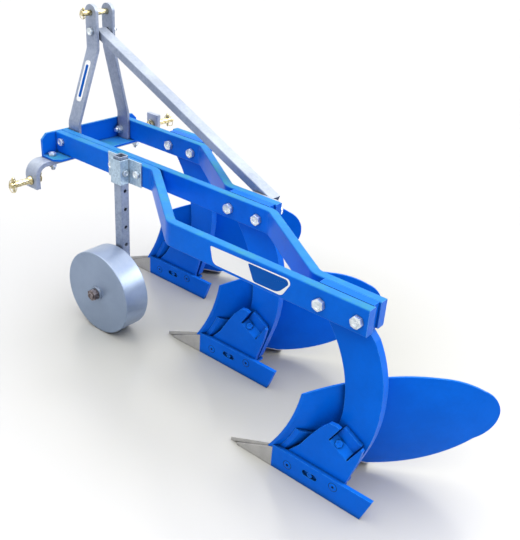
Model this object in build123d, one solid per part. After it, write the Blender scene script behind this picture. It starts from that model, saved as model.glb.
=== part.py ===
from build123d import *
from math import cos, hypot, radians, sin
import os

# Three-furrow moldboard plough for a three-point hitch, standing on its landsides and shares.
# Millimetres. While the pieces are drawn, X is to the right of travel, Y is forward and Z is up
# from the furrow floor; the finished plough is then moved so that its box is centred on the origin.

# Plough layout
BODY_COUNT = 3
FURROW_WIDTH = 264.0
BODY_SPACING = 524.0
REAR_FACE_X = -296.0

# Flat bars of the frame, set on edge
BAR_THICKNESS = 28.0
BAR_HEIGHT = 75.0
BAR_TOP = 602.5
BAR_EDGE_RADIUS = 4.0
BAR_BEND_RADIUS = 45.0
BAR_REAR_OVERHANG = -198.0
BAR_FRONT_Y = 1255.0
LEG_THICKNESS = 25.0

# Leg bolts, M20, in every body
LEG_BOLT_HEIGHT = 562.0
LEG_BOLT_FRONT_Y = -60.0
LEG_BOLT_REAR_Y = -170.0
LEG_BOLT_HOLE_RADIUS = 11.0

# Short cheek bar on the right of the front leg
CHEEK_LENGTH = 174.0
CHEEK_MIDDLE_Y = -111.0

# Front cross angle, 75 x 85 x 8
ANGLE_LEFT_X = -118.0
ANGLE_RIGHT_X = 315.0
ANGLE_TOP = 603.0
ANGLE_THICKNESS = 8.0
ANGLE_DEPTH = 85.0
ANGLE_CORNER = 20.0

# Mast: two cranked flat bars, the top-link pin and the brace
MAST_WIDTH = 56.0
MAST_THICKNESS = 12.0
MAST_TOP_CENTRE_X = 132.0
MAST_TOP_GAP = 59.0
MAST_PIN_HEIGHT = 999.0
MAST_UPPER_BEND = 876.0
MAST_LOWER_BEND = 628.0
MAST_BEND_RADIUS = 45.0
MAST_EDGE_RADIUS = 2.0
TOP_PIN_RADIUS = 9.5
TOP_PIN_HOLE_RADIUS = 9.75
TOP_PIN_TIP_X = 53.0
TOP_PIN_LINCH_FROM_TIP = 9.0
TOP_PIN_LINCH_RADIUS = 3.0
TOP_PIN_HEAD_RADIUS = 15.0
TOP_PIN_HEAD_LENGTH = 8.0

# Brace, 44 x 30 tube, and its lug on the middle body's leg bolts
BRACE_BOLT_HEIGHT = 937.0
BRACE_BOLT_HOLE_RADIUS = 8.75
BRACE_TOP_HEIGHT = 933.0
BRACE_LOW_Y = -146.0
BRACE_LOW_HEIGHT = 582.0
BRACE_WIDTH = 44.0
BRACE_DEPTH = 30.0
BRACE_WALL = 3.0
BRACE_CORNER = 4.0
LUG_THICKNESS = 8.0
LUG_LENGTH = 100.0
LUG_HEIGHT = 62.0
LUG_MIDDLE_Y = -130.0

# Cranked cross bar with the lower link pins
CROSS_BAR_WIDTH = 60.0
CROSS_BAR_THICKNESS = 18.0
CROSS_BAR_Y = 1240.0
CROSS_BAR_LEFT_FACE = -185.0
CROSS_BAR_RIGHT_FACE = 402.0
CROSS_BAR_LOW_END = 427.0
CROSS_BAR_HIGH_END = 588.0
CROSS_BAR_BEND_RADIUS = 42.0
CROSS_BAR_EDGE_RADIUS = 3.0
LOWER_PIN_RADIUS = 11.0
LOWER_PIN_SHANK_RADIUS = 10.0
LOWER_PIN_SHANK_PROUD = 22.0
LOWER_PIN_COLLAR_RADIUS = 16.0
LOWER_PIN_COLLAR_RIM = 4.0
LOWER_PIN_COLLAR_LENGTH = 12.0
LOWER_PIN_CHAMFER = 3.0
LINCH_HOLE_RADIUS = 5.5
LINCH_HOLE_FROM_FACE = 68.0

# Lower link pins: name, face of the cross bar, way it points, height and length
LOWER_PINS = (
    ("lower_link_pin_left", CROSS_BAR_LEFT_FACE, -1, 455.0, 81.0),
    ("lower_link_pin_right", CROSS_BAR_RIGHT_FACE, 1, 547.0, 95.0),
)

# Gauge wheel, its post and the clamp on the left beams
POST_SIZE = 36.0
POST_WALL = 4.0
POST_CORNER = 5.0
POST_Y = 895.0
POST_BOTTOM = 112.0
POST_TOP = 620.0
POST_HOLE_RADIUS = 6.5
POST_HOLE_TOP = 565.0
POST_HOLE_PITCH = 66.0
POST_HOLE_COUNT = 5
SLIDE_GAP = 0.5
CLAMP_PLATE = 5.0
CLAMP_HEIGHT = 84.0
CLAMP_BOTTOM = 526.0
CLAMP_FRONT_Y = 972.0
CLAMP_REAR_Y = 815.0
WHEEL_RADIUS = 149.0
WHEEL_WIDTH = 94.0
WHEEL_TO_POST = 6.0
WHEEL_RIM_ROUND = 3.0
WHEEL_RIM = 7.0
WHEEL_DISC = 6.0
HUB_RADIUS = 24.0
HUB_PROUD = 7.0
AXLE_RADIUS = 12.5
AXLE_FIT = 0.06
AXLE_NUT_ACROSS = 36.0
AXLE_NUT_LENGTH = 18.0
AXLE_END_PROUD = 6.0
AXLE_SPACER_RADIUS = 20.0
AXLE_SIDE_PLAY = 0.5

# Plough body, in its own frame: X from the beam face, Y from the leg's front, Z from the floor
LANDSIDE_THICKNESS = 12.0
LANDSIDE_HEIGHT = 76.0
LANDSIDE_OUTSET = 17.0
LANDSIDE_FRONT_Y = 26.0
LANDSIDE_REAR_BOTTOM_Y = -270.0
LANDSIDE_REAR_TOP_Y = -297.0
FROG_THICKNESS = 12.0
SHIN_OUTSET = 15.0
SHIN_Y = 47.0
FURROW_ANGLE = 36.0
BOARD_THICKNESS = 6.0
SHARE_TOP_AT_SHIN = 70.0
SHARE_TOP_FALL = 0.15
SHARE_EDGE_AT_TIP = 91.0
SHARE_TIP_S = -112.0
SHARE_WING_S = 300.0
SHARE_HEEL_S = 285.0
SHARE_EDGE_AT_WING = 53.0
SHARE_THICKNESS = 10.0
SHARE_NOSE_Y = 178.0
SHARE_LEDGE = 5.0
SEAT_THICKNESS = 9.0
SEAT_GAP = 0.3
SHARE_STATIONS = (-140.0, 40.0, 220.0, 310.0)
RIB_THICKNESS = 9.0
RIB_HEIGHT = 36.0
STAY_HEIGHT = 105.0

BAR_BOTTOM = BAR_TOP - BAR_HEIGHT
BAR_MIDDLE_Z = BAR_TOP - BAR_HEIGHT / 2
LANDSIDE_X = -LANDSIDE_OUTSET
FROG_X = LANDSIDE_X + LANDSIDE_THICKNESS
LEG_X = BAR_THICKNESS

# Directions along the furrow slice: S runs back along the mouldboard, N points to the soil side
S_X = sin(radians(FURROW_ANGLE))
S_Y = -cos(radians(FURROW_ANGLE))
N_X = cos(radians(FURROW_ANGLE))
N_Y = sin(radians(FURROW_ANGLE))

parts = {}


def body_place(number):
    """Place of a body in the plough, counted from the front."""
    steps = BODY_COUNT - number
    return Vector(REAR_FACE_X + FURROW_WIDTH * steps, BODY_SPACING * steps, 0)


def board_plane(s):
    """Upright plane across the mouldboard at a distance along it: x is N and y is up."""
    origin = (-SHIN_OUTSET + s * S_X, SHIN_Y + s * S_Y, 0)
    return Plane(origin=origin, x_dir=(N_X, N_Y, 0), z_dir=(S_X, S_Y, 0))


def outline_plane():
    """Upright plane along the mouldboard: x is S and y is up, and its normal is -N."""
    return Plane(origin=(-SHIN_OUTSET, SHIN_Y, 0), x_dir=(S_X, S_Y, 0), z_dir=(-N_X, -N_Y, 0))


def side_plate(left_x, thickness, edges):
    """Plate in a lengthwise upright plane, from its closed outline in Y and Z."""
    face = make_face(edges)
    plane = Plane(origin=(left_x, 0, 0), x_dir=(0, 1, 0), z_dir=(1, 0, 0))
    return extrude(plane * face, thickness, dir=(1, 0, 0))


def closed_outline(*points):
    """Straight-sided closed outline."""
    return Polyline(*points, close=True)


def bent_bar(points, bend_radius, width_axis, width, depth, corner):
    """Bar of rounded rectangular section along straight runs joined by tangent bends."""
    path = FilletPolyline(*points, radius=bend_radius)
    start = Plane(origin=path @ 0, x_dir=width_axis, z_dir=path % 0)
    return sweep(start * RectangleRounded(width, depth, corner), path)


def cross_hole(x, y, z, radius, length):
    """Cylinder along X, centred on a point, to cut a hole with."""
    return Pos(x, y, z) * Rot(0, 90, 0) * Cylinder(radius, length)


def leg_bolt_holes(number, piece):
    """Piece with the two leg bolt holes of a body drilled through it."""
    place = body_place(number)
    for y in (LEG_BOLT_FRONT_Y, LEG_BOLT_REAR_Y):
        hole = cross_hole(place.X + 40, place.Y + y, LEG_BOLT_HEIGHT, LEG_BOLT_HOLE_RADIUS, 160)
        piece = piece - hole
    return piece


def beam(*plan_points):
    """Flat bar on edge, bent in plan along its centre line."""
    points = [(x, y, BAR_MIDDLE_Z) for x, y in plan_points]
    return bent_bar(points, BAR_BEND_RADIUS, (1, 0, 0), BAR_THICKNESS, BAR_HEIGHT, BAR_EDGE_RADIUS)


def make_beams():
    """The three bent beams and the short cheek: each pair of bars grips one leg."""
    front = body_place(1)
    middle = body_place(2)
    rear = body_place(3)
    half = BAR_THICKNESS / 2
    outer = BAR_THICKNESS + LEG_THICKNESS + half
    parts["beam_left"] = leg_bolt_holes(3, beam(
        (middle.X - half, BAR_FRONT_Y),
        (middle.X - half, 766),
        (rear.X + half, 459),
        (rear.X + half, rear.Y + BAR_REAR_OVERHANG),
    ))
    parts["beam_middle"] = leg_bolt_holes(2, leg_bolt_holes(3, beam(
        (middle.X + half, BAR_FRONT_Y),
        (middle.X + half, middle.Y - 216),
        (rear.X + outer, rear.Y + 1),
        (rear.X + outer, rear.Y + BAR_REAR_OVERHANG),
    )))
    parts["beam_right"] = leg_bolt_holes(1, leg_bolt_holes(2, beam(
        (front.X + half, BAR_FRONT_Y),
        (front.X + half, front.Y - 216),
        (middle.X + outer, middle.Y + 1),
        (middle.X + outer, middle.Y + BAR_REAR_OVERHANG),
    )))
    cheek = Box(BAR_THICKNESS, CHEEK_LENGTH, BAR_HEIGHT)
    cheek = fillet(cheek.edges().filter_by(Axis.Y), BAR_EDGE_RADIUS)
    cheek = Pos(front.X + outer, front.Y + CHEEK_MIDDLE_Y, BAR_MIDDLE_Z) * cheek
    parts["beam_cheek"] = leg_bolt_holes(1, cheek)


def make_front_angle():
    """Angle iron across the front ends of the beams, with its free corners cut off."""
    length = ANGLE_RIGHT_X - ANGLE_LEFT_X
    centre_x = (ANGLE_LEFT_X + ANGLE_RIGHT_X) / 2
    upright = Box(length, ANGLE_THICKNESS, ANGLE_TOP - BAR_BOTTOM, align=(Align.CENTER, Align.MIN, Align.MIN))
    top_corners = upright.edges().filter_by(Axis.Y).group_by(Axis.Z)[-1]
    upright = Pos(centre_x, BAR_FRONT_Y, BAR_BOTTOM) * chamfer(top_corners, ANGLE_CORNER)
    shelf = Box(length, ANGLE_DEPTH, ANGLE_THICKNESS, align=(Align.CENTER, Align.MAX, Align.MAX))
    rear_corners = shelf.edges().filter_by(Axis.Z).group_by(Axis.Y)[0]
    shelf = Pos(centre_x, BAR_FRONT_Y + ANGLE_THICKNESS, BAR_BOTTOM) * chamfer(rear_corners, ANGLE_CORNER)
    parts["front_cross_angle"] = upright + shelf


def mast_bar(foot_x, top_x):
    """Cranked flat bar: upright foot, leaning run, upright head with a round top and its holes."""
    y = BAR_FRONT_Y - MAST_WIDTH / 2
    points = (
        (foot_x, y, BAR_BOTTOM),
        (foot_x, y, MAST_LOWER_BEND),
        (top_x, y, MAST_UPPER_BEND),
        (top_x, y, MAST_PIN_HEIGHT),
    )
    bar = bent_bar(points, MAST_BEND_RADIUS, (0, 1, 0), MAST_WIDTH, MAST_THICKNESS, MAST_EDGE_RADIUS)
    bar = bar + cross_hole(top_x, y, MAST_PIN_HEIGHT, MAST_WIDTH / 2, MAST_THICKNESS)
    bar = bar - cross_hole(top_x, y, MAST_PIN_HEIGHT, TOP_PIN_HOLE_RADIUS, 2 * MAST_WIDTH)
    return bar - cross_hole(top_x, y, BRACE_BOLT_HEIGHT, BRACE_BOLT_HOLE_RADIUS, 2 * MAST_WIDTH)


def make_mast():
    """Two mast bars, the top-link pin through their heads and the brace back to the frame."""
    middle = body_place(2)
    front = body_place(1)
    y = BAR_FRONT_Y - MAST_WIDTH / 2
    half_gap = (MAST_TOP_GAP + MAST_THICKNESS) / 2
    left_x = MAST_TOP_CENTRE_X - half_gap
    right_x = MAST_TOP_CENTRE_X + half_gap
    parts["mast_left"] = mast_bar(middle.X + BAR_THICKNESS + MAST_THICKNESS / 2, left_x)
    parts["mast_right"] = mast_bar(front.X - MAST_THICKNESS / 2, right_x)

    head_x = right_x + MAST_THICKNESS / 2
    length = head_x + TOP_PIN_HEAD_LENGTH - TOP_PIN_TIP_X
    pin = cross_hole(TOP_PIN_TIP_X + length / 2, y, MAST_PIN_HEIGHT, TOP_PIN_RADIUS, length)
    head_middle = head_x + TOP_PIN_HEAD_LENGTH / 2
    head = cross_hole(head_middle, y, MAST_PIN_HEIGHT, TOP_PIN_HEAD_RADIUS, TOP_PIN_HEAD_LENGTH)
    pin = chamfer((pin + head).edges().group_by(Axis.X)[0], 1.5)
    linch_x = TOP_PIN_TIP_X + TOP_PIN_LINCH_FROM_TIP
    parts["top_link_pin"] = pin - Pos(linch_x, y, MAST_PIN_HEIGHT) * Cylinder(TOP_PIN_LINCH_RADIUS, 40)

    lug_x = middle.X + 2 * BAR_THICKNESS + LEG_THICKNESS
    top = Vector(MAST_TOP_CENTRE_X, y, BRACE_TOP_HEIGHT)
    low = Vector(lug_x + LUG_THICKNESS + BRACE_WIDTH / 2, middle.Y + BRACE_LOW_Y, BRACE_LOW_HEIGHT)
    along = low - top
    across = along.cross(Vector(0, 0, 1)).normalized()
    start = Plane(origin=top, x_dir=across, z_dir=along)
    outer = start * RectangleRounded(BRACE_WIDTH, BRACE_DEPTH, BRACE_CORNER)
    inner = start * Rectangle(BRACE_WIDTH - 2 * BRACE_WALL, BRACE_DEPTH - 2 * BRACE_WALL)
    tube = extrude(outer - inner, along.length, dir=along)
    tube = tube - cross_hole(MAST_TOP_CENTRE_X, y, BRACE_BOLT_HEIGHT, BRACE_BOLT_HOLE_RADIUS, 90)
    lug = Box(LUG_THICKNESS, LUG_LENGTH, LUG_HEIGHT, align=(Align.MIN, Align.CENTER, Align.MAX))
    lug = Pos(lug_x, middle.Y + LUG_MIDDLE_Y, BAR_TOP - 2) * lug
    parts["mast_brace"] = leg_bolt_holes(2, tube + lug)


def make_cross_bar():
    """Cranked cross bar: its left end turns down and its right end turns up."""
    half = CROSS_BAR_THICKNESS / 2
    z = BAR_BOTTOM - ANGLE_THICKNESS - half
    points = (
        (CROSS_BAR_LEFT_FACE + half, CROSS_BAR_Y, CROSS_BAR_LOW_END),
        (CROSS_BAR_LEFT_FACE + half, CROSS_BAR_Y, z),
        (CROSS_BAR_RIGHT_FACE - half, CROSS_BAR_Y, z),
        (CROSS_BAR_RIGHT_FACE - half, CROSS_BAR_Y, CROSS_BAR_HIGH_END),
    )
    bar = bent_bar(points, CROSS_BAR_BEND_RADIUS, (0, 1, 0), CROSS_BAR_WIDTH, CROSS_BAR_THICKNESS,
                   CROSS_BAR_EDGE_RADIUS)
    for _, face_x, _, height, _ in LOWER_PINS:
        bar = bar - cross_hole(face_x, CROSS_BAR_Y, height, LOWER_PIN_SHANK_RADIUS, 4 * CROSS_BAR_THICKNESS)
    parts["cross_bar"] = bar


def lower_pin(face_x, outward, height, length):
    """Lower link pin: shank through the bar, flared collar, turned pin and a hole for its linch pin."""
    shank = CROSS_BAR_THICKNESS + LOWER_PIN_SHANK_PROUD
    profile = Polyline(
        (0, -shank),
        (LOWER_PIN_SHANK_RADIUS - 1, -shank),
        (LOWER_PIN_SHANK_RADIUS, 1 - shank),
        (LOWER_PIN_SHANK_RADIUS, 0),
        (LOWER_PIN_COLLAR_RADIUS, 0),
        (LOWER_PIN_COLLAR_RADIUS, LOWER_PIN_COLLAR_RIM),
        (LOWER_PIN_RADIUS, LOWER_PIN_COLLAR_LENGTH),
        (LOWER_PIN_RADIUS, length - LOWER_PIN_CHAMFER),
        (LOWER_PIN_RADIUS - LOWER_PIN_CHAMFER, length),
        (0, length),
        close=True,
    )
    pin = revolve(Plane.XZ * make_face(profile), Axis.Z)
    pin = pin - Pos(0, 0, LINCH_HOLE_FROM_FACE) * Rot(0, 90, 0) * Cylinder(LINCH_HOLE_RADIUS, 60)
    return Pos(face_x, CROSS_BAR_Y, height) * Rot(0, 90 * outward, 0) * pin


def make_lower_pins():
    """Left and right lower link pins, one lower than the other."""
    for name, face_x, outward, height, length in LOWER_PINS:
        parts[name] = lower_pin(face_x, outward, height, length)


def make_gauge_wheel():
    """Omega clamp on the left beams, square post in it, axle, and the closed drum wheel."""
    beam_face = body_place(2).X - BAR_THICKNESS
    post_right = beam_face - SLIDE_GAP
    post_x = post_right - POST_SIZE / 2
    inner_half = POST_SIZE / 2 + SLIDE_GAP
    inner_left = post_x - inner_half
    outer_half = inner_half + CLAMP_PLATE
    clamp = Polyline(
        (beam_face, CLAMP_REAR_Y),
        (beam_face, POST_Y - inner_half),
        (inner_left, POST_Y - inner_half),
        (inner_left, POST_Y + inner_half),
        (beam_face, POST_Y + inner_half),
        (beam_face, CLAMP_FRONT_Y),
        (beam_face - CLAMP_PLATE, CLAMP_FRONT_Y),
        (beam_face - CLAMP_PLATE, POST_Y + outer_half),
        (inner_left - CLAMP_PLATE, POST_Y + outer_half),
        (inner_left - CLAMP_PLATE, POST_Y - outer_half),
        (beam_face - CLAMP_PLATE, POST_Y - outer_half),
        (beam_face - CLAMP_PLATE, CLAMP_REAR_Y),
        close=True,
    )
    clamp = extrude(make_face(clamp), CLAMP_HEIGHT, dir=(0, 0, 1))
    parts["wheel_clamp"] = Pos(0, 0, CLAMP_BOTTOM) * clamp

    outer = RectangleRounded(POST_SIZE, POST_SIZE, POST_CORNER)
    inner = Rectangle(POST_SIZE - 2 * POST_WALL, POST_SIZE - 2 * POST_WALL)
    post = Pos(post_x, POST_Y, POST_BOTTOM) * extrude(outer - inner, POST_TOP - POST_BOTTOM, dir=(0, 0, 1))
    for i in range(POST_HOLE_COUNT):
        z = POST_HOLE_TOP - i * POST_HOLE_PITCH
        post = post - Pos(post_x, POST_Y, z) * Rot(90, 0, 0) * Cylinder(POST_HOLE_RADIUS, 2 * POST_SIZE)
    post = post - cross_hole(post_x, POST_Y, WHEEL_RADIUS, AXLE_RADIUS, 2 * POST_SIZE)
    parts["wheel_post"] = post

    wheel_right = post_x - POST_SIZE / 2 - WHEEL_TO_POST
    wheel_left = wheel_right - WHEEL_WIDTH
    hub_left = wheel_left - HUB_PROUD
    drum = Cylinder(WHEEL_RADIUS, WHEEL_WIDTH)
    drum = fillet(drum.edges(), WHEEL_RIM_ROUND)
    hollow = Cylinder(WHEEL_RADIUS - WHEEL_RIM, WHEEL_WIDTH - 2 * WHEEL_DISC)
    hub = Cylinder(HUB_RADIUS, WHEEL_WIDTH)
    boss = Pos(0, 0, -WHEEL_WIDTH / 2 - HUB_PROUD / 2) * Cylinder(HUB_RADIUS, HUB_PROUD)
    bore = Cylinder(AXLE_RADIUS + AXLE_FIT, 2 * WHEEL_WIDTH)
    wheel = drum - hollow + hub + boss - bore
    wheel_x = (wheel_left + wheel_right) / 2
    parts["gauge_wheel"] = Pos(wheel_x, POST_Y, WHEEL_RADIUS) * Rot(0, 90, 0) * wheel

    axle_left = hub_left - AXLE_NUT_LENGTH - AXLE_END_PROUD
    to_right = (Align.CENTER, Align.CENTER, Align.MIN)
    axle = Cylinder(AXLE_RADIUS, post_right - 1 - axle_left, align=to_right)
    axle = Pos(axle_left, 0, 0) * Rot(0, 90, 0) * axle
    axle = chamfer(axle.edges().group_by(Axis.X)[0], 1.5)
    spacer = Cylinder(AXLE_SPACER_RADIUS, WHEEL_TO_POST - AXLE_SIDE_PLAY, align=to_right)
    spacer = Pos(wheel_right + AXLE_SIDE_PLAY, 0, 0) * Rot(0, 90, 0) * spacer
    nut = extrude(RegularPolygon(AXLE_NUT_ACROSS / 2, 6, major_radius=False), AXLE_NUT_LENGTH)
    nut = Pos(hub_left - AXLE_SIDE_PLAY, 0, 0) * Rot(0, -90, 0) * nut
    parts["wheel_axle"] = Pos(0, POST_Y, WHEEL_RADIUS) * (axle + spacer + nut)


def share_top(s):
    """Upper back edge of the share's soil face, as N and Z."""
    return (0.03 * s, SHARE_TOP_AT_SHIN - SHARE_TOP_FALL * s)


def share_edge(s):
    """N of the cutting edge on the floor."""
    step = (SHARE_EDGE_AT_WING - SHARE_EDGE_AT_TIP) / (SHARE_WING_S - SHARE_TIP_S)
    return SHARE_EDGE_AT_TIP + step * (s - SHARE_TIP_S)


def share_section(s, behind, thickness):
    """Closed section of a plate under the share's soil face, cut level on the floor."""
    top_n, top_z = share_top(s)
    edge_n = share_edge(s)
    slope = hypot(edge_n - top_n, top_z)
    down_n = (edge_n - top_n) / slope
    down_z = -top_z / slope
    back_n = down_z
    back_z = -down_n
    corners = []
    for depth in (behind, behind + thickness):
        n = top_n + back_n * depth
        z = top_z + back_z * depth
        reach = z / -down_z
        corners.append(((n, z), (n + down_n * reach, 0)))
    (front_top, front_foot), (back_top, back_foot) = corners
    face = make_face(Polyline(front_foot, front_top, back_top, back_foot, close=True))
    return board_plane(s) * face


def share_plate(stations, behind, thickness):
    """Ruled plate through sections along the share."""
    return loft([share_section(s, behind, thickness) for s in stations], ruled=True)


def plan_prism(points, height):
    """Upright prism over a plan outline."""
    return extrude(make_face(Polyline(*points, close=True)), height, dir=(0, 0, 1))


# Mouldboard sections: S, then N and Z of the soil face low down, at the belly and at the top
BOARD_SECTIONS = (
    (-45, (15, 18), (-34, 180), (-62, 380)),
    (130, (16, 14), (-37, 180), (-57, 390)),
    (310, (16, 8), (-30, 180), (-47, 400)),
    (480, (15, 14), (-24, 190), (-39, 395)),
    (650, (12, 24), (-17, 200), (-31, 390)),
)


def arc_centre(a, b, c):
    """Centre of the circle through three points."""
    ax, ay = a
    bx, by = b
    cx, cy = c
    d = 2 * (ax * (by - cy) + bx * (cy - ay) + cx * (ay - by))
    a2 = ax * ax + ay * ay
    b2 = bx * bx + by * by
    c2 = cx * cx + cy * cy
    x = (a2 * (by - cy) + b2 * (cy - ay) + c2 * (ay - by)) / d
    y = (a2 * (cx - bx) + b2 * (ax - cx) + c2 * (bx - ax)) / d
    return x, y


def board_section(row, behind, thickness):
    """Curved section between two arcs about one centre, behind the soil face."""
    s, low, belly, top = row
    centre_n, centre_z = arc_centre(low, belly, top)
    radius = hypot(low[0] - centre_n, low[1] - centre_z)

    def pushed(point, depth):
        factor = (radius + depth) / radius
        return (centre_n + (point[0] - centre_n) * factor, centre_z + (point[1] - centre_z) * factor)

    front = [pushed(point, behind) for point in (low, belly, top)]
    back = [pushed(point, behind + thickness) for point in (top, belly, low)]
    edges = [
        ThreePointArc(*front),
        Line(front[2], back[0]),
        ThreePointArc(*back),
        Line(back[2], front[0]),
    ]
    return board_plane(s) * make_face(edges)


def board_shell(behind, thickness):
    """Twisted shell behind the mouldboard's soil face."""
    return loft([board_section(row, behind, thickness) for row in BOARD_SECTIONS])


def outline_prism(edges):
    """Prism across the mouldboard, from an outline in S and Z."""
    return extrude(outline_plane() * make_face(edges), 200, both=True)


def make_mouldboard(share, landside):
    """Mouldboard: twisted shell cut to its outline, along the shin and on the share."""
    share_start = (-60, share_top(-60)[1] - 7)
    share_end = (SHARE_HEEL_S, share_top(SHARE_HEEL_S)[1] - 7)
    lower_tip = (560, 162)
    rear_tip = (609, 265)
    upper_corner = (556, 330)
    crown = (432, 365)
    shin_top = (77, 292)
    edges = [
        Line(share_start, share_end),
        ThreePointArc(share_end, (430, 62), lower_tip),
        ThreePointArc(lower_tip, (600, 207), rear_tip),
        ThreePointArc(rear_tip, (592, 303), upper_corner),
        ThreePointArc(upper_corner, (500, 354), crown),
        ThreePointArc(crown, (270, 358), shin_top),
        Line(shin_top, (-60, 240)),
        Line((-60, 240), share_start),
    ]
    shin_side = Pos(-SHIN_OUTSET, 0, 0) * Box(600, 1400, 500, align=(Align.MIN, Align.CENTER, Align.MIN))
    board = board_shell(0, BOARD_THICKNESS) & outline_prism(edges)
    return board & shin_side - share - landside


def make_share(landside):
    """Share: ruled blade from point to wing, and the upright side plate ahead of the landside."""
    blade = share_plate(SHARE_STATIONS, 0, SHARE_THICKNESS)
    wing_n = share_edge(SHARE_WING_S)
    wing = (-SHIN_OUTSET + SHARE_WING_S * S_X + wing_n * N_X, SHIN_Y + SHARE_WING_S * S_Y + wing_n * N_Y)
    heel = (-SHIN_OUTSET + SHARE_HEEL_S * S_X - 20 * N_X, SHIN_Y + SHARE_HEEL_S * S_Y - 20 * N_Y)
    blade_left = LANDSIDE_X + SHARE_LEDGE
    trim = plan_prism((
        (blade_left, SHIN_Y - 60),
        (blade_left, SHARE_NOSE_Y),
        (wing[0] + 60, SHARE_NOSE_Y),
        wing,
        heel,
    ), 120)
    side = side_plate(LANDSIDE_X, 10, closed_outline(
        (LANDSIDE_FRONT_Y, 0), (152, 0), (152, 6), (30, 66), (LANDSIDE_FRONT_Y, 66)))
    return (blade & trim) + side - landside


def make_landside():
    """Landside: flat bar on edge with a slanted rear end and its adjusting slot."""
    plate = side_plate(LANDSIDE_X, LANDSIDE_THICKNESS, closed_outline(
        (LANDSIDE_FRONT_Y, 0),
        (LANDSIDE_FRONT_Y, LANDSIDE_HEIGHT),
        (LANDSIDE_REAR_TOP_Y, LANDSIDE_HEIGHT),
        (LANDSIDE_REAR_BOTTOM_Y, 0),
    ))
    slot = Plane(origin=(LANDSIDE_X, -103, 45), x_dir=(0, 1, 0), z_dir=(1, 0, 0)) * SlotOverall(48, 18)
    return plate - extrude(slot, 7)


def make_leg():
    """Leg: thick plate, upright between the beams and swept back before it curves to the frog."""
    edges = [
        Line((-35, BAR_TOP), (-60, BAR_BOTTOM)),
        ThreePointArc((-60, BAR_BOTTOM), (-131, 408), (-152, 290)),
        ThreePointArc((-152, 290), (-145, 220), (-114, 150)),
        Line((-114, 150), (-102, 60)),
        Line((-102, 60), (-195, 60)),
        Line((-195, 60), (-228, 160)),
        ThreePointArc((-228, 160), (-251, 250), (-256, 340)),
        ThreePointArc((-256, 340), (-244, 430), (-211, 507)),
        Line((-211, 507), (-192, BAR_BOTTOM - 1)),
        Line((-192, BAR_BOTTOM - 1), (-192, BAR_TOP)),
        Line((-192, BAR_TOP), (-35, BAR_TOP)),
    ]
    return side_plate(LEG_X, LEG_THICKNESS, edges)


def make_frog(share, board):
    """Frog: side plate with a pressed tab on the leg, a seat for share and board, and its rib."""
    plate = side_plate(FROG_X, FROG_THICKNESS, closed_outline(
        (20, 8),
        (38, 44),
        (-14, 70),
        (-53, 116),
        (-81, 164),
        (-109, 207),
        (-137, 238),
        (-156, 240),
        (-232, 216),
        (-241, 203),
        (-234, 167),
        (-208, 79),
        (-200, 8),
    ))
    tab_plane = Plane(origin=(0, -171, 168), x_dir=(0, -0.5, 0.866), z_dir=(0, -0.866, -0.5))
    window = tab_plane * Pos(40, 0, 0) * Box(80, 120, 72)
    leg_side = LEG_X - FROG_THICKNESS
    tab = Polyline(
        (-7, -FROG_X),
        (0, -FROG_X),
        (16, -leg_side),
        (54, -leg_side),
        (54, -LEG_X),
        (11, -LEG_X),
        (-5, -(FROG_X + FROG_THICKNESS)),
        (-7, -(FROG_X + FROG_THICKNESS)),
        close=True,
    )
    tab = extrude(tab_plane * make_face(tab), 32, both=True)
    seat_outline = closed_outline((12, 45), (148, 25), (152, 60), (140, 150), (66, 165), (40, 110))
    board_seat = board_shell(BOARD_THICKNESS + SEAT_GAP, SEAT_THICKNESS) & outline_prism(seat_outline)
    low_outline = closed_outline((5, 0), (150, 0), (150, 90), (5, 90))
    share_seat = share_plate(SHARE_STATIONS[:-1], SHARE_THICKNESS + SEAT_GAP, SEAT_THICKNESS)
    share_seat = share_seat & outline_prism(low_outline)
    right_side = Pos(FROG_X, 0, 0) * Box(400, 1000, 400, align=(Align.MIN, Align.CENTER, Align.MIN))
    rib_outline = ((FROG_X + 4, -190), (FROG_X + 4, 10), (14, 10), (66, -76), (58, -190))
    rib = Pos(0, 0, RIB_HEIGHT) * plan_prism(rib_outline, RIB_THICKNESS)
    frog = (plate - window) + tab + (board_seat & right_side) + (share_seat & right_side) + rib
    return frog - share - board


def make_stay(board):
    """Stay: short flat bar from the leg's right side to the back of the mouldboard."""
    leg_face = LEG_X + LEG_THICKNESS
    points = (
        (leg_face + 4, -92, STAY_HEIGHT),
        (leg_face + 4, -130, STAY_HEIGHT),
        (leg_face + 48, -160, STAY_HEIGHT),
    )
    stay = bent_bar(points, 15, (1, 0, 0), 8, 30, 1.5) - board
    return stay.solids().sort_by(SortBy.VOLUME)[-1]


def make_bodies():
    """The three plough bodies, alike, each at its own place."""
    landside = make_landside()
    share = make_share(landside)
    board = make_mouldboard(share, landside)
    pieces = (
        ("leg", make_leg()),
        ("frog", make_frog(share, board)),
        ("landside", landside),
        ("share", share),
        ("mouldboard", board),
        ("mouldboard_stay", make_stay(board)),
    )
    for number in range(1, BODY_COUNT + 1):
        place = Pos(body_place(number))
        for name, piece in pieces:
            parts[f"{name}_{number}"] = place * piece
        parts[f"leg_{number}"] = leg_bolt_holes(number, parts[f"leg_{number}"])


def write_parts():
    """Centre the plough on the origin and write each piece to its own file."""
    box = Compound(children=[Compound([piece.solid()]) for piece in parts.values()]).bounding_box()
    middle_x = (box.min.X + box.max.X) / 2
    middle_y = (box.min.Y + box.max.Y) / 2
    print("moved by", round(-middle_x, 3), round(-middle_y, 3), "box", box.min, box.max)
    os.makedirs("parts", exist_ok=True)
    for name, piece in parts.items():
        if len(piece.solids()) != 1:
            print("not one solid:", name, len(piece.solids()), [round(s.volume) for s in piece.solids()])
        export_step(Pos(-middle_x, -middle_y, -box.min.Z) * piece, f"parts/{name}.step")


make_beams()
make_front_angle()
make_mast()
make_cross_bar()
make_lower_pins()
make_gauge_wheel()
make_bodies()
write_parts()
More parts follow.
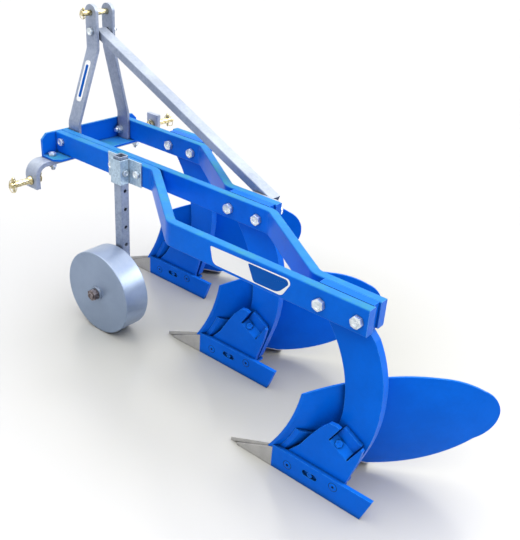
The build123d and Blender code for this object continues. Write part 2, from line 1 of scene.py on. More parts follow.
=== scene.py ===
"""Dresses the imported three-furrow plough: finishes, fasteners, blank signs, studio and camera."""
import logging
from dataclasses import dataclass, field
from enum import Enum
from math import cos, pi, radians, sin, tan

import bmesh
import bpy
import numpy as np
from mathutils import Matrix, Vector
from mathutils.bvhtree import BVHTree


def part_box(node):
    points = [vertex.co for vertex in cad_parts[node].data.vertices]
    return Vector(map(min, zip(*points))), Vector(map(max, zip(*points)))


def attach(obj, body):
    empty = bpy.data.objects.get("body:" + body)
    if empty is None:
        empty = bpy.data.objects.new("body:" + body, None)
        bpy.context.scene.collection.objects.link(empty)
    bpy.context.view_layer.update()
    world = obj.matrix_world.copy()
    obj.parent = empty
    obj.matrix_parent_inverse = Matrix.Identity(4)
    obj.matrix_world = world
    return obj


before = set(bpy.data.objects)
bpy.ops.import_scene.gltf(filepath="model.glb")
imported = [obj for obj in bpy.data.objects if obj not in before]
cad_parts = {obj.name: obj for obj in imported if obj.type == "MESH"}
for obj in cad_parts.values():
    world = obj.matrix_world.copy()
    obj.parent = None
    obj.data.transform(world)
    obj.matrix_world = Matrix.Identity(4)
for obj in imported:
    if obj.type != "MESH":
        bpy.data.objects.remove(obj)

LOG = logging.getLogger("plough")
MM = 0.001

Point = tuple[float, float, float]
Colour = tuple[float, float, float, float]
Row = tuple[np.ndarray | float, np.ndarray | float]
Socket = bpy.types.NodeSocket

# Drawing coordinates: millimetres, X to the right of travel, Y forward, Z up from the furrow floor
BODY_PLACES = {1: (232.0, 1048.0), 2: (-32.0, 524.0), 3: (-296.0, 0.0)}
FRONT_LEG_X = 260.0
LEFT_BEAM_END_Y = 1255.0
FURROW_ANGLE = radians(36.0)
ALONG_BOARD = Vector((sin(FURROW_ANGLE), -cos(FURROW_ANGLE), 0.0))
ACROSS_BOARD = Vector((cos(FURROW_ANGLE), sin(FURROW_ANGLE), 0.0))


class Way(Enum):
    """Directions as seen from the tractor's seat."""

    LEFT = (-1.0, 0.0, 0.0)
    RIGHT = (1.0, 0.0, 0.0)
    BACK = (0.0, -1.0, 0.0)
    FRONT = (0.0, 1.0, 0.0)
    UP = (0.0, 0.0, 1.0)

    def vector(self) -> Vector:
        """The direction as a vector of length one."""
        return Vector(self.value)


def drawing_shift() -> Vector:
    """Finds where the drawing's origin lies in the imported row.

    Returns:
        The shift in metres, from the left face of the front leg and the front end of the left beam.
    """
    leg_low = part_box("leg_1")[0]
    beam_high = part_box("beam_left")[1]
    return Vector((leg_low.x - FRONT_LEG_X * MM, beam_high.y - LEFT_BEAM_END_Y * MM, 0.0))


SHIFT = drawing_shift()


def place(x: float, y: float, z: float) -> Vector:
    """Turns drawing millimetres into row metres."""
    return Vector((x, y, z)) * MM + SHIFT


def body_point(number: int, x: float, y: float, z: float) -> Vector:
    """Turns millimetres in one plough body's own frame into row metres."""
    body_x, body_y = BODY_PLACES[number]
    return place(body_x + x, body_y + y, z)


def stand_on(origin: Vector, axis: Vector, roll: float = 0.0) -> Matrix:
    """Frame at a point with Z along the axis, turned about it by the roll in degrees."""
    turn = axis.normalized().to_track_quat("Z", "Y").to_matrix().to_4x4()
    return Matrix.Translation(origin) @ turn @ Matrix.Rotation(radians(roll), 4, "Z")


def columns_at(origin: Vector, x_way: Vector, y_way: Vector, z_way: Vector) -> Matrix:
    """Frame at a point whose own axes look the three ways."""
    return Matrix.Translation(origin) @ Matrix((x_way, y_way, z_way)).transposed().to_4x4()


# Surfaces


@dataclass
class Shell:
    """A closed surface of quads, in metres."""

    points: np.ndarray
    faces: np.ndarray

    def moved(self, matrix: Matrix) -> "Shell":
        """Carries every point by the matrix: the point's row times the turn, plus the move."""
        turn = np.array(matrix.to_3x3())
        return Shell(self.points @ turn.T + np.array(matrix.translation), self.faces)

    def joined(self, *others: "Shell") -> "Shell":
        """Puts several shells into one, with the later faces' numbers raised by the points before them.

        Args:
            others: The shells that join this one.

        Returns:
            One shell with all points and faces.
        """
        shells = (self, *others)
        first = np.cumsum([0] + [len(shell.points) for shell in shells])
        faces = [shell.faces + start for shell, start in zip(shells, first)]
        return Shell(np.concatenate([shell.points for shell in shells]), np.concatenate(faces))


def skin(points: np.ndarray, wrap_rows: bool = False, wrap_columns: bool = True) -> Shell:
    """Covers a grid of points with quads between each row and column and the next.

    Args:
        points: Grid of rows by columns by three, in metres.
        wrap_rows: Whether the last row joins the first.
        wrap_columns: Whether the last column joins the first.

    Returns:
        The shell over the grid.
    """
    rows, columns = points.shape[:2]
    row = np.arange(rows if wrap_rows else rows - 1)
    column = np.arange(columns if wrap_columns else columns - 1)
    r0, c0 = np.meshgrid(row, column, indexing="ij")
    r1, c1 = (r0 + 1) % rows, (c0 + 1) % columns
    quads = np.stack([r0 * columns + c0, r0 * columns + c1, r1 * columns + c1, r1 * columns + c0], -1)
    return Shell(points.reshape(-1, 3), quads.reshape(-1, 4))


def turn_angles(steps: int) -> np.ndarray:
    """Equal angles round a full turn, without the last."""
    return np.linspace(0.0, 2.0 * pi, steps, endpoint=False)


def turned(rows: list[Row], steps: int, ring: bool = False) -> Shell:
    """Turns a profile about Z: x is r cos a, y is r sin a and z is h, for each row's r and h.

    Args:
        rows: Radius and height of each row in millimetres, each a number or one value per angle.
        steps: Number of angles.
        ring: Whether the profile closes on itself, as a washer's does.

    Returns:
        The turned shell, in metres.
    """
    angles = turn_angles(steps)
    radius = np.stack([np.broadcast_to(np.asarray(r, float), steps) for r, _ in rows])
    height = np.stack([np.broadcast_to(np.asarray(h, float), steps) for _, h in rows])
    points = np.stack([radius * np.cos(angles), radius * np.sin(angles), height], -1) * MM
    return skin(points, wrap_rows=ring)


def hexagon(across: float, steps: int) -> np.ndarray:
    """Radius of a hexagon: half its width over the cosine of the angle to the nearest side's middle."""
    return across / 2.0 / np.cos(turn_angles(steps) % (pi / 3.0) - pi / 6.0)


def lengthened(vectors: np.ndarray, length: np.ndarray | float = 1.0) -> np.ndarray:
    """Gives each row of an array the length asked for."""
    return vectors / np.linalg.norm(vectors, axis=1, keepdims=True) * length


def swept(path: np.ndarray, radius: float, steps: int, closed: bool = False) -> Shell:
    """Carries a circle along a path: the circle stands square to the path's slope at each point.

    Args:
        path: Points in millimetres, one per row.
        radius: Radius in millimetres.
        steps: Number of angles round the circle.
        closed: Whether the path is a ring.

    Returns:
        The tube, with its ends closed by poles unless it is a ring.
    """
    slope = np.roll(path, -1, 0) - np.roll(path, 1, 0) if closed else np.gradient(path, axis=0)
    slope = lengthened(slope)
    spread = np.linalg.svd(path - path.mean(0))[2][2]
    side = lengthened(np.cross(slope, spread))
    up = np.cross(side, slope)
    angles = turn_angles(steps)[None, :, None]
    points = path[:, None] + (side[:, None] * np.cos(angles) + up[:, None] * np.sin(angles)) * radius
    if not closed:
        first = np.repeat(path[:1, None], steps, 1)
        last = np.repeat(path[-1:, None], steps, 1)
        points = np.concatenate([first, points, last])
    return skin(points * MM, wrap_rows=closed)


def rounded_outline(corners: np.ndarray, radii: np.ndarray, steps: int = 10) -> np.ndarray:
    """Rounds a polygon's corners: each corner becomes a quadratic curve between points on its sides.

    Args:
        corners: Corner points in the plane, in order.
        radii: How far from each corner its rounding starts.
        steps: Points on each rounding.

    Returns:
        The outline's points, one per row.
    """
    start = corners + lengthened(np.roll(corners, 1, 0) - corners, radii[:, None])
    end = corners + lengthened(np.roll(corners, -1, 0) - corners, radii[:, None])
    t = np.linspace(0.0, 1.0, steps)[None, :, None]
    curve = start[:, None] * (1 - t) ** 2 + corners[:, None] * 2 * t * (1 - t) + end[:, None] * t ** 2
    return curve.reshape(-1, 2)


def plate(outline: np.ndarray, thickness: float, edge: float) -> Shell:
    """Fills an outline as a thin plate on Z = 0: rows run from the middle to the rim and back below.

    Args:
        outline: Points in the plane, in millimetres.
        thickness: Height of the plate's top, in millimetres.
        edge: Width of the small bevel round the top, in millimetres.

    Returns:
        The plate's closed shell.
    """
    middle = np.broadcast_to(outline.mean(0), outline.shape)
    inward = lengthened(middle - outline, edge)
    rows = [(middle, thickness), (outline + inward, thickness), (outline, thickness - edge),
            (outline, 0.0), (middle, 0.0)]
    points = np.stack([np.column_stack([plane, np.full(len(outline), height)]) for plane, height in rows])
    return skin(points * MM)


# Node trees


class Graph:
    """Builds one node tree: adds nodes, sets plain values and links sockets."""

    def __init__(self, tree: bpy.types.NodeTree) -> None:
        """Keeps the tree."""
        self.tree = tree

    def feed(self, node: bpy.types.Node, inputs: dict) -> None:
        """Links what is a socket to the node and sets what is a plain value on the node's own socket.

        Args:
            node: The node that takes the inputs.
            inputs: Values or sockets by the input's name or number.
        """
        for key, value in inputs.items():
            if isinstance(value, Socket):
                self.tree.links.new(value, node.inputs[key])
            else:
                node.inputs[key].default_value = value

    def add(self, kind: str, inputs: dict | None = None, **settings: object) -> bpy.types.Node:
        """Adds a node.

        Args:
            kind: The node's type without its ShaderNode prefix.
            inputs: Values or sockets for the node's inputs, by name or number.
            settings: The node's own settings.

        Returns:
            The new node.
        """
        node = self.tree.nodes.new("ShaderNode" + kind)
        for name, value in settings.items():
            setattr(node, name, value)
        self.feed(node, inputs or {})
        return node

    def math(self, operation: str, *values: float | Socket, clamp: bool = False) -> Socket:
        """Adds a Math node and gives its result."""
        return self.add("Math", dict(enumerate(values)), operation=operation, use_clamp=clamp).outputs[0]

    def plus(self, first: float | Socket, second: float | Socket, clamp: bool = False) -> Socket:
        """Adds two values."""
        return self.math("ADD", first, second, clamp=clamp)

    def times(self, first: float | Socket, second: float | Socket, clamp: bool = False) -> Socket:
        """Multiplies two values."""
        return self.math("MULTIPLY", first, second, clamp=clamp)

    def blend(self, factor: Socket, first: Colour | Socket, second: Colour | Socket) -> Socket:
        """Mixes two colours by a factor and gives the result."""
        return self.add("Mix", {0: factor, 6: first, 7: second}, data_type="RGBA").outputs[2]

    def spot(self) -> Socket:
        """The surface point in Object coordinates, in metres."""
        return self.add("TexCoord").outputs["Object"]

    def noise(self, vector: Socket, scale: float | Socket, detail: float, roughness: float) -> Socket:
        """Adds a noise texture and gives its value."""
        inputs = {"Vector": vector, "Scale": scale, "Detail": detail, "Roughness": roughness}
        return self.add("TexNoise", inputs).outputs["Fac"]

    def window(self, value: Socket, low: float, high: float) -> Socket:
        """Spreads the part of a value between low and high over 0 to 1, smoothly."""
        inputs = {"Value": value, "From Min": low, "From Max": high}
        return self.add("MapRange", inputs, interpolation_type="SMOOTHSTEP").outputs[0]


def fresh_material(name: str) -> tuple[bpy.types.Material, Graph, bpy.types.Node]:
    """Makes a material that has only its shader and its output.

    Args:
        name: The material's name.

    Returns:
        The material, its graph and its Principled shader.
    """
    material = bpy.data.materials.new(name)
    material.use_nodes = True
    return material, Graph(material.node_tree), material.node_tree.nodes["Principled BSDF"]


# Effects that finishes share


class Effect(Enum):
    """Shared effects, each a node group built once."""

    # Edge wear with a painted highlight along the edges.
    EDGE_WEAR_AND_HIGHLIGHT = "edge_wear_and_highlight"
    PAINT_SKIN = "paint_skin"
    # Dust, and painted light on the faces that look up.
    DUST_AND_TOP_LIGHT = "dust_and_top_light"
    SPANGLE = "spangle"
    GRIND = "grind_lines"
    # Painted shade in crevices and between parts.
    CREVICE_SHADE = "crevice_shade"


@dataclass
class EffectShop:
    """Builds the shared node groups and places them in materials. Noise scales are patches per metre."""

    made: dict[Effect, bpy.types.NodeTree] = field(default_factory=dict)
    # Edge mask for wear and a painted highlight.
    edge_samples: int = 6
    edge_break_gain: float = 0.3
    wave_height: float = 1.6
    # Mask of dust and painted top light.
    dust_and_light_even: float = 0.55
    dust_and_light_patchy: float = 0.25
    dust_and_light_upright: float = 0.08
    crystal_share: float = 0.45
    line_share: float = 0.5
    line_scale: Point = (18.0, 640.0, 640.0)
    # Mask of painted shade where faces close in.
    crevice_samples: int = 8
    shade_even: float = 0.55
    shade_grain: float = 0.9

    def start(self, effect: Effect, outputs: tuple[str, ...],
              **numbers: float) -> tuple[Graph, bpy.types.NodeOutputs]:
        """Starts a group with number inputs and named outputs.

        Args:
            effect: Which effect it is.
            outputs: Names of the outputs, which are numbers, apart from a Normal.
            numbers: Names and first values of the inputs.

        Returns:
            The group's graph, and its inputs as sockets to read from.
        """
        tree = bpy.data.node_groups.new(effect.value, "ShaderNodeTree")
        for name, value in numbers.items():
            socket = tree.interface.new_socket(name, in_out="INPUT", socket_type="NodeSocketFloat")
            socket.default_value = value
        for name in outputs:
            kind = "NodeSocketVector" if name == "Normal" else "NodeSocketFloat"
            tree.interface.new_socket(name, in_out="OUTPUT", socket_type=kind)
        self.made[effect] = tree
        return Graph(tree), tree.nodes.new("NodeGroupInput").outputs

    def close(self, graph: Graph, **results: Socket) -> None:
        """Links a group's results to its output node."""
        graph.feed(graph.tree.nodes.new("NodeGroupOutput"), results)

    def use(self, graph: Graph, effect: Effect, **values: float) -> bpy.types.NodeOutputs:
        """Places an effect's group in a material with its own values, and gives its outputs."""
        return graph.add("Group", values, node_tree=self.made[effect]).outputs

    def build(self) -> None:
        """Builds every group."""
        self.build_edge_wear_and_highlight()
        self.build_paint_skin()
        self.build_dust_and_top_light()
        self.build_spangle()
        self.build_grind()
        self.build_crevice_shade()

    def build_edge_wear_and_highlight(self) -> None:
        """Edge mask for wear and a painted highlight: where a rounded normal leaves the true one, broken up
        by noise.
        """
        graph, given = self.start(Effect.EDGE_WEAR_AND_HIGHLIGHT, ("Mask", "Normal"), Radius=0.002, Scale=60.0, Spread=0.5)
        rounded = graph.add("Bevel", {"Radius": given["Radius"]}, samples=self.edge_samples).outputs["Normal"]
        true = graph.add("NewGeometry").outputs["True Normal"]
        flatness = graph.add("VectorMath", {0: rounded, 1: true}, operation="DOT_PRODUCT").outputs["Value"]
        edge = graph.window(graph.math("SUBTRACT", 1.0, flatness), low=0.01, high=0.22)
        grain = graph.noise(graph.spot(), given["Scale"], detail=6.0, roughness=0.65)
        spread = graph.times(given["Spread"], self.edge_break_gain)
        edge_breaks = graph.window(graph.plus(grain, spread), low=0.52, high=0.66)
        self.close(graph, Mask=graph.times(edge, edge_breaks), Normal=rounded)

    def build_paint_skin(self) -> None:
        """Sprayed paint: fine orange peel, slow waves, and a tone of slow clouds and small blotches."""
        graph, given = self.start(Effect.PAINT_SKIN, ("Height", "Tone"), Peel=1.0, Mottle=0.3)
        spot = graph.spot()
        peel = graph.noise(spot, scale=420.0, detail=2.0, roughness=0.5)
        wave = graph.noise(spot, scale=38.0, detail=2.0, roughness=0.4)
        height = graph.plus(graph.times(peel, given["Peel"]), graph.times(wave, self.wave_height))
        clouds = graph.noise(spot, scale=5.0, detail=5.0, roughness=0.6)
        blotches = graph.noise(spot, scale=95.0, detail=6.0, roughness=0.72)
        blotches = graph.times(graph.math("SUBTRACT", blotches, 0.5), given["Mottle"])
        tone = graph.window(graph.plus(clouds, blotches), low=0.3, high=0.7)
        self.close(graph, Height=height, Tone=tone)

    def build_dust_and_top_light(self) -> None:
        """Mask of dust and painted top light: most on faces that look up, in soft patches with specks among
        them.
        """
        graph, given = self.start(Effect.DUST_AND_TOP_LIGHT, ("Mask",), Amount=0.3)
        normal = graph.add("NewGeometry").outputs["Normal"]
        upward = graph.add("SeparateXYZ", {0: normal}).outputs["Z"]
        spot = graph.spot()
        lying = graph.window(upward, low=0.1, high=1.0)
        patches = graph.window(graph.noise(spot, scale=14.0, detail=8.0, roughness=0.7), low=0.38, high=0.72)
        specks = graph.window(graph.noise(spot, scale=700.0, detail=2.0, roughness=0.5), low=0.4, high=0.75)
        broken = graph.plus(self.dust_and_light_even, graph.times(patches, graph.plus(self.dust_and_light_patchy, specks)))
        slope = graph.plus(self.dust_and_light_upright, graph.times(lying, 1.0 - self.dust_and_light_upright))
        self.close(graph, Mask=graph.times(graph.times(broken, slope), given["Amount"], clamp=True))

    def build_spangle(self) -> None:
        """Zinc plate: crystals of a few millimetres, each of its own tone, and fine rubbing."""
        graph, given = self.start(Effect.SPANGLE, ("Tone", "Height"), Scale=160.0)
        spot = graph.spot()
        cells = graph.add("TexVoronoi", {"Vector": spot, "Scale": given["Scale"], "Randomness": 0.9})
        cell_tone = graph.add("SeparateColor", {0: cells.outputs["Color"]}).outputs[0]
        clouds = graph.noise(spot, scale=24.0, detail=5.0, roughness=0.6)
        crystals = graph.times(cell_tone, self.crystal_share)
        tone = graph.plus(crystals, graph.times(clouds, 1.0 - self.crystal_share))
        self.close(graph, Tone=tone, Height=graph.noise(spot, scale=900.0, detail=3.0, roughness=0.6))

    def build_grind(self) -> None:
        """Ground steel: lines drawn out along the blade, with softer blotches among them."""
        graph, given = self.start(Effect.GRIND, ("Tone", "Height"), Turn=0.0)
        spot = graph.spot()
        lie = graph.add("CombineXYZ", {2: given["Turn"]}).outputs[0]
        drawing = {"Vector": spot, "Rotation": lie, "Scale": self.line_scale}
        lines = graph.noise(graph.add("Mapping", drawing).outputs[0], scale=1.0, detail=4.0, roughness=0.7)
        blotches = graph.noise(spot, scale=30.0, detail=5.0, roughness=0.6)
        blotches = graph.times(blotches, 1.0 - self.line_share)
        tone = graph.plus(graph.times(lines, self.line_share), blotches)
        self.close(graph, Tone=tone, Height=lines)

    def build_crevice_shade(self) -> None:
        """Painted shade mask: where neighbouring faces close in on a spot, broken up by noise."""
        graph, given = self.start(Effect.CREVICE_SHADE, ("Mask",), Reach=0.014)
        reach = {"Distance": given["Reach"]}
        openness = graph.add("AmbientOcclusion", reach, samples=self.crevice_samples).outputs["AO"]
        grain = graph.noise(graph.spot(), scale=120.0, detail=5.0, roughness=0.65)
        closed = graph.window(graph.math("SUBTRACT", 1.0, openness), low=0.12, high=0.75)
        broken = graph.plus(self.shade_even, graph.times(grain, self.shade_grain))
        self.close(graph, Mask=graph.times(closed, broken, clamp=True))


# Finishes


def tint(red: float, green: float, blue: float) -> Colour:
    """A linear colour with full alpha."""
    return (red, green, blue, 1.0)


class Slot(Enum):
    """Material slots of the record."""

    BLUE = "blue_paint"
    SILVER = "silver_paint"
    ZINC = "zinc"
    YELLOW = "yellow_zinc"
    SHARE = "share_steel"


@dataclass(frozen=True, kw_only=True)
class Finish:
    """What every finish has: its slot, edges marked by wear and a painted highlight, painted shade in its
    corners and a fine relief.
    """

    slot: Slot
    roughness: float
    metallic: float
    # Edge colour and its mask: wear, and a painted highlight along the edges.
    edge_wear_and_highlight_colour: Colour
    edge_radius: float
    edge_spread: float
    edge_wear_and_highlight_share: float
    edge_break_scale: float
    # Painted shade in the corners: its amount, reach and colour.
    crevice_shade_amount: float
    crevice_shade_reach: float
    crevice_shade_colour: Colour
    bump_strength: float
    relief: float

    def complete(self, name: str, shop: EffectShop) -> bpy.types.Material:
        """Makes the material: the finish's own tone, then edge wear with a painted highlight, painted shade
        in the corners, and relief.

        Args:
            name: The material's name.
            shop: The shared effects.

        Returns:
            The finished material.
        """
        material, graph, shader = fresh_material(name)
        colour, rough, height = self.surface(graph, shop)
        edge_spread = {"Radius": self.edge_radius, "Scale": self.edge_break_scale, "Spread": self.edge_spread}
        worn_and_lit_edges = shop.use(graph, Effect.EDGE_WEAR_AND_HIGHLIGHT, **edge_spread)
        crevice_shade_mask = shop.use(graph, Effect.CREVICE_SHADE, Reach=self.crevice_shade_reach)["Mask"]
        # Edges turn to the edge colour: wear, and a painted highlight.
        colour = graph.blend(graph.times(worn_and_lit_edges["Mask"], self.edge_wear_and_highlight_share), colour, self.edge_wear_and_highlight_colour)
        # Painted shade: darker where neighbouring faces close in.
        colour = graph.blend(graph.times(crevice_shade_mask, self.crevice_shade_amount), colour, self.crevice_shade_colour)
        bump = graph.add("Bump", {"Height": height, "Normal": worn_and_lit_edges["Normal"],
                                  "Strength": self.bump_strength, "Distance": self.relief})
        graph.feed(shader, {"Base Color": colour, "Roughness": rough, "Normal": bump.outputs["Normal"],
                            "Metallic": self.metallic, **self.gloss()})
        return material

    def surface(self, graph: Graph, shop: EffectShop) -> tuple[Socket, Socket, Socket]:
        """Colour, roughness and relief height of the clean surface: each kind of finish has its own."""
        raise NotImplementedError

    def gloss(self) -> dict[str, float | Colour]:
        """The shader's own gloss values, where they aren't Blender's."""
        return {}


@dataclass(frozen=True, kw_only=True)
class PaintFinish(Finish):
    """Sprayed paint over steel, with a little dust and painted light on its upward faces."""

    deep: Colour
    light: Colour
    # Dust with painted light on upward faces: its amount, colour and added roughness.
    dust_and_top_light: float
    dust_and_top_light_colour: Colour = tint(0.55, 0.6, 0.66)
    dust_roughness: float = 0.35
    tone_roughness: float = 0.05
    peel: float = 1.0
    mottle: float = 0.3
    ior: float = 1.45
    specular: float = 0.3
    sheen_tint: Colour = tint(1.0, 1.0, 1.0)
    roughness: float = 0.3
    metallic: float = 0.0
    # Edge marks: wear and a painted highlight.
    edge_radius: float = 0.0022
    edge_spread: float = 0.5
    edge_wear_and_highlight_share: float = 0.6
    edge_break_scale: float = 90.0
    # Painted shade in the corners.
    crevice_shade_amount: float = 0.75
    crevice_shade_reach: float = 0.014
    crevice_shade_colour: Colour = tint(0.006, 0.03, 0.1)
    bump_strength: float = 0.12
    relief: float = 0.0006

    def surface(self, graph: Graph, shop: EffectShop) -> tuple[Socket, Socket, Socket]:
        """Tone from the paint skin, with dust and painted top light that lighten it, and dust that dulls it.

        Args:
            graph: The material's graph.
            shop: The shared effects.

        Returns:
            Colour, roughness and relief height.
        """
        paint = shop.use(graph, Effect.PAINT_SKIN, Peel=self.peel, Mottle=self.mottle)
        dust_and_top_light_mask = shop.use(graph, Effect.DUST_AND_TOP_LIGHT, Amount=self.dust_and_top_light)["Mask"]
        colour = graph.blend(paint["Tone"], self.deep, self.light)
        # Upward faces turn paler: dust, and painted light where the light falls on them.
        colour = graph.blend(dust_and_top_light_mask, colour, self.dust_and_top_light_colour)
        rough = graph.plus(self.roughness, graph.times(dust_and_top_light_mask, self.dust_roughness))
        rough = graph.plus(rough, graph.times(paint["Tone"], self.tone_roughness))
        return colour, rough, paint["Height"]

    def gloss(self) -> dict[str, float | Colour]:
        """The paint's refraction, specular level and tint."""
        return {"IOR": self.ior, "Specular IOR Level": self.specular, "Specular Tint": self.sheen_tint}


@dataclass(frozen=True, kw_only=True)
class PlateFinish(Finish):
    """Plated or bare steel: crystals or ground lines."""

    bright: Colour
    dull: Colour
    effect: Effect = Effect.SPANGLE
    crystal_scale: float = 160.0
    turn: float = 0.0
    tone_window: tuple[float, float] = (0.25, 0.75)
    dull_roughness: float = 0.12
    tone_roughness: float = 0.18
    roughness: float = 0.32
    metallic: float = 0.75
    # Edge marks: wear and a painted highlight.
    edge_wear_and_highlight_colour: Colour = tint(0.9, 0.93, 0.95)
    edge_radius: float = 0.0008
    edge_spread: float = 0.8
    edge_wear_and_highlight_share: float = 0.5
    edge_break_scale: float = 140.0
    # Painted shade in the corners.
    crevice_shade_amount: float = 0.7
    crevice_shade_reach: float = 0.01
    crevice_shade_colour: Colour = tint(0.05, 0.045, 0.04)
    bump_strength: float = 0.25
    relief: float = 0.0002

    def surface(self, graph: Graph, shop: EffectShop) -> tuple[Socket, Socket, Socket]:
        """Tone from the crystals or the ground lines, smoother where it is bright.

        Args:
            graph: The material's graph.
            shop: The shared effects.

        Returns:
            Colour, roughness and relief height.
        """
        values = {"Turn": self.turn} if self.effect is Effect.GRIND else {"Scale": self.crystal_scale}
        pattern = shop.use(graph, self.effect, **values)
        tone = graph.window(pattern["Tone"], *self.tone_window)
        smoother = graph.times(tone, self.tone_roughness)
        rough = graph.math("SUBTRACT", self.roughness + self.dull_roughness, smoother)
        return graph.blend(tone, self.dull, self.bright), rough, pattern["Height"]


class FinishName(Enum):
    """Finishes by the pieces that wear them, with their materials' names."""

    BLUE = "blue_gloss"
    BODY_BLUE = "body_blue"
    SILVER = "silver_paint"
    WHEEL = "wheel_paint"
    POST = "post_paint"
    ZINC = "zinc_plate"
    CLAMP = "clamp_zinc"
    YELLOW = "yellow_plate"
    AXLE = "axle_brown"
    SHARE = "share_steel"
    SIGN_WHITE = "sign_white"
    SIGN_BLUE = "sign_blue"
    GAP_SHADE = "painted_gap_shade"


# Pale green-blue for the blue paint's upward faces: dust and painted top light.
FIELD_DUST_AND_TOP_LIGHT = tint(0.07, 0.33, 0.26)
SHARP_EDGE = 0.0003
GRIND_TURN = radians(54.0)

# Edge colours stand for wear with a painted highlight, dust colours for dust with painted light on upward
# faces, and crevice colours for painted shade.
RECIPES: dict[FinishName, Finish] = {
    FinishName.BLUE: PaintFinish(
        slot=Slot.BLUE, deep=tint(0.0002, 0.12, 0.7), light=tint(0.0003, 0.148, 0.82), mottle=0.35,
        dust_and_top_light=0.66, dust_and_top_light_colour=FIELD_DUST_AND_TOP_LIGHT, roughness=0.26, specular=0.5, ior=1.17,
        sheen_tint=tint(0.2, 0.6, 1.0),
        edge_wear_and_highlight_colour=tint(0.25, 0.62, 1.0), edge_radius=0.003, edge_spread=0.9, edge_wear_and_highlight_share=0.7),
    FinishName.BODY_BLUE: PaintFinish(
        slot=Slot.BLUE, deep=tint(0.0002, 0.124, 0.71), light=tint(0.0003, 0.148, 0.82),
        dust_and_top_light=0.12, dust_and_top_light_colour=FIELD_DUST_AND_TOP_LIGHT, roughness=0.28, specular=0.5, ior=1.2,
        sheen_tint=tint(0.1, 0.55, 1.0), edge_wear_and_highlight_colour=tint(0.1, 0.48, 1.0),
        crevice_shade_amount=0.95, crevice_shade_reach=0.03, crevice_shade_colour=tint(0.001, 0.012, 0.05)),
    FinishName.SILVER: PaintFinish(
        slot=Slot.SILVER, deep=tint(0.23, 0.28, 0.4), light=tint(0.37, 0.43, 0.57), mottle=0.6,
        dust_and_top_light=0.3, dust_and_top_light_colour=tint(0.5, 0.5, 0.4), roughness=0.36, metallic=0.25,
        edge_wear_and_highlight_colour=tint(0.62, 0.68, 0.8), edge_radius=0.0016, crevice_shade_colour=tint(0.05, 0.055, 0.07)),
    FinishName.WHEEL: PaintFinish(
        slot=Slot.SILVER, deep=tint(0.21, 0.285, 0.42), light=tint(0.26, 0.34, 0.48), mottle=0.2,
        peel=0.15, dust_and_top_light=0.3, dust_and_top_light_colour=tint(0.62, 0.66, 0.7), roughness=0.31, specular=0.9,
        metallic=0.4, edge_wear_and_highlight_colour=tint(0.6, 0.67, 0.8), edge_radius=0.003,
        crevice_shade_colour=tint(0.04, 0.045, 0.06)),
    FinishName.POST: PaintFinish(
        slot=Slot.SILVER, deep=tint(0.2, 0.25, 0.36), light=tint(0.33, 0.4, 0.54), mottle=0.8,
        dust_and_top_light=0.2, roughness=0.38, specular=0.35, metallic=0.25,
        edge_wear_and_highlight_colour=tint(0.52, 0.58, 0.7), edge_radius=0.003, crevice_shade_colour=tint(0.03, 0.03, 0.035)),
    FinishName.ZINC: PlateFinish(
        slot=Slot.ZINC, bright=tint(0.82, 0.88, 0.92), dull=tint(0.55, 0.62, 0.68)),
    FinishName.CLAMP: PlateFinish(
        slot=Slot.ZINC, bright=tint(0.5, 0.64, 0.78), dull=tint(0.37, 0.5, 0.63),
        roughness=0.34, metallic=0.5),
    FinishName.YELLOW: PlateFinish(
        slot=Slot.YELLOW, bright=tint(0.76, 0.68, 0.42), dull=tint(0.32, 0.26, 0.12),
        edge_wear_and_highlight_colour=tint(0.98, 0.93, 0.78), roughness=0.2, metallic=1.0),
    FinishName.AXLE: PlateFinish(
        slot=Slot.ZINC, bright=tint(0.27, 0.235, 0.24), dull=tint(0.1, 0.08, 0.085),
        edge_wear_and_highlight_colour=tint(0.5, 0.47, 0.48), roughness=0.4, metallic=0.7),
    FinishName.SHARE: PlateFinish(
        slot=Slot.SHARE, bright=tint(0.53, 0.525, 0.515), dull=tint(0.38, 0.375, 0.37),
        effect=Effect.GRIND, turn=GRIND_TURN, relief=0.0004, roughness=0.5, metallic=0.1),
    # Near-black blue for painted shade in gaps and sockets.
    FinishName.GAP_SHADE: PaintFinish(
        slot=Slot.BLUE, deep=tint(0.001, 0.01, 0.04), light=tint(0.002, 0.018, 0.07), dust_and_top_light=0.0,
        roughness=0.6, specular=0.1, edge_wear_and_highlight_colour=tint(0.01, 0.05, 0.15), edge_radius=SHARP_EDGE, crevice_shade_amount=0.0),
    FinishName.SIGN_WHITE: PaintFinish(
        slot=Slot.BLUE, deep=tint(0.9, 0.92, 0.94), light=tint(0.95, 0.96, 0.97), peel=0.3, dust_and_top_light=0.1,
        specular=0.4, edge_wear_and_highlight_colour=tint(0.7, 0.76, 0.84), edge_radius=SHARP_EDGE),
    FinishName.SIGN_BLUE: PaintFinish(
        slot=Slot.BLUE, deep=tint(0.0008, 0.085, 0.42), light=tint(0.001, 0.1, 0.48), peel=0.3, dust_and_top_light=0.02,
        ior=1.18, edge_wear_and_highlight_colour=tint(0.03, 0.2, 0.6), edge_radius=SHARP_EDGE),
}


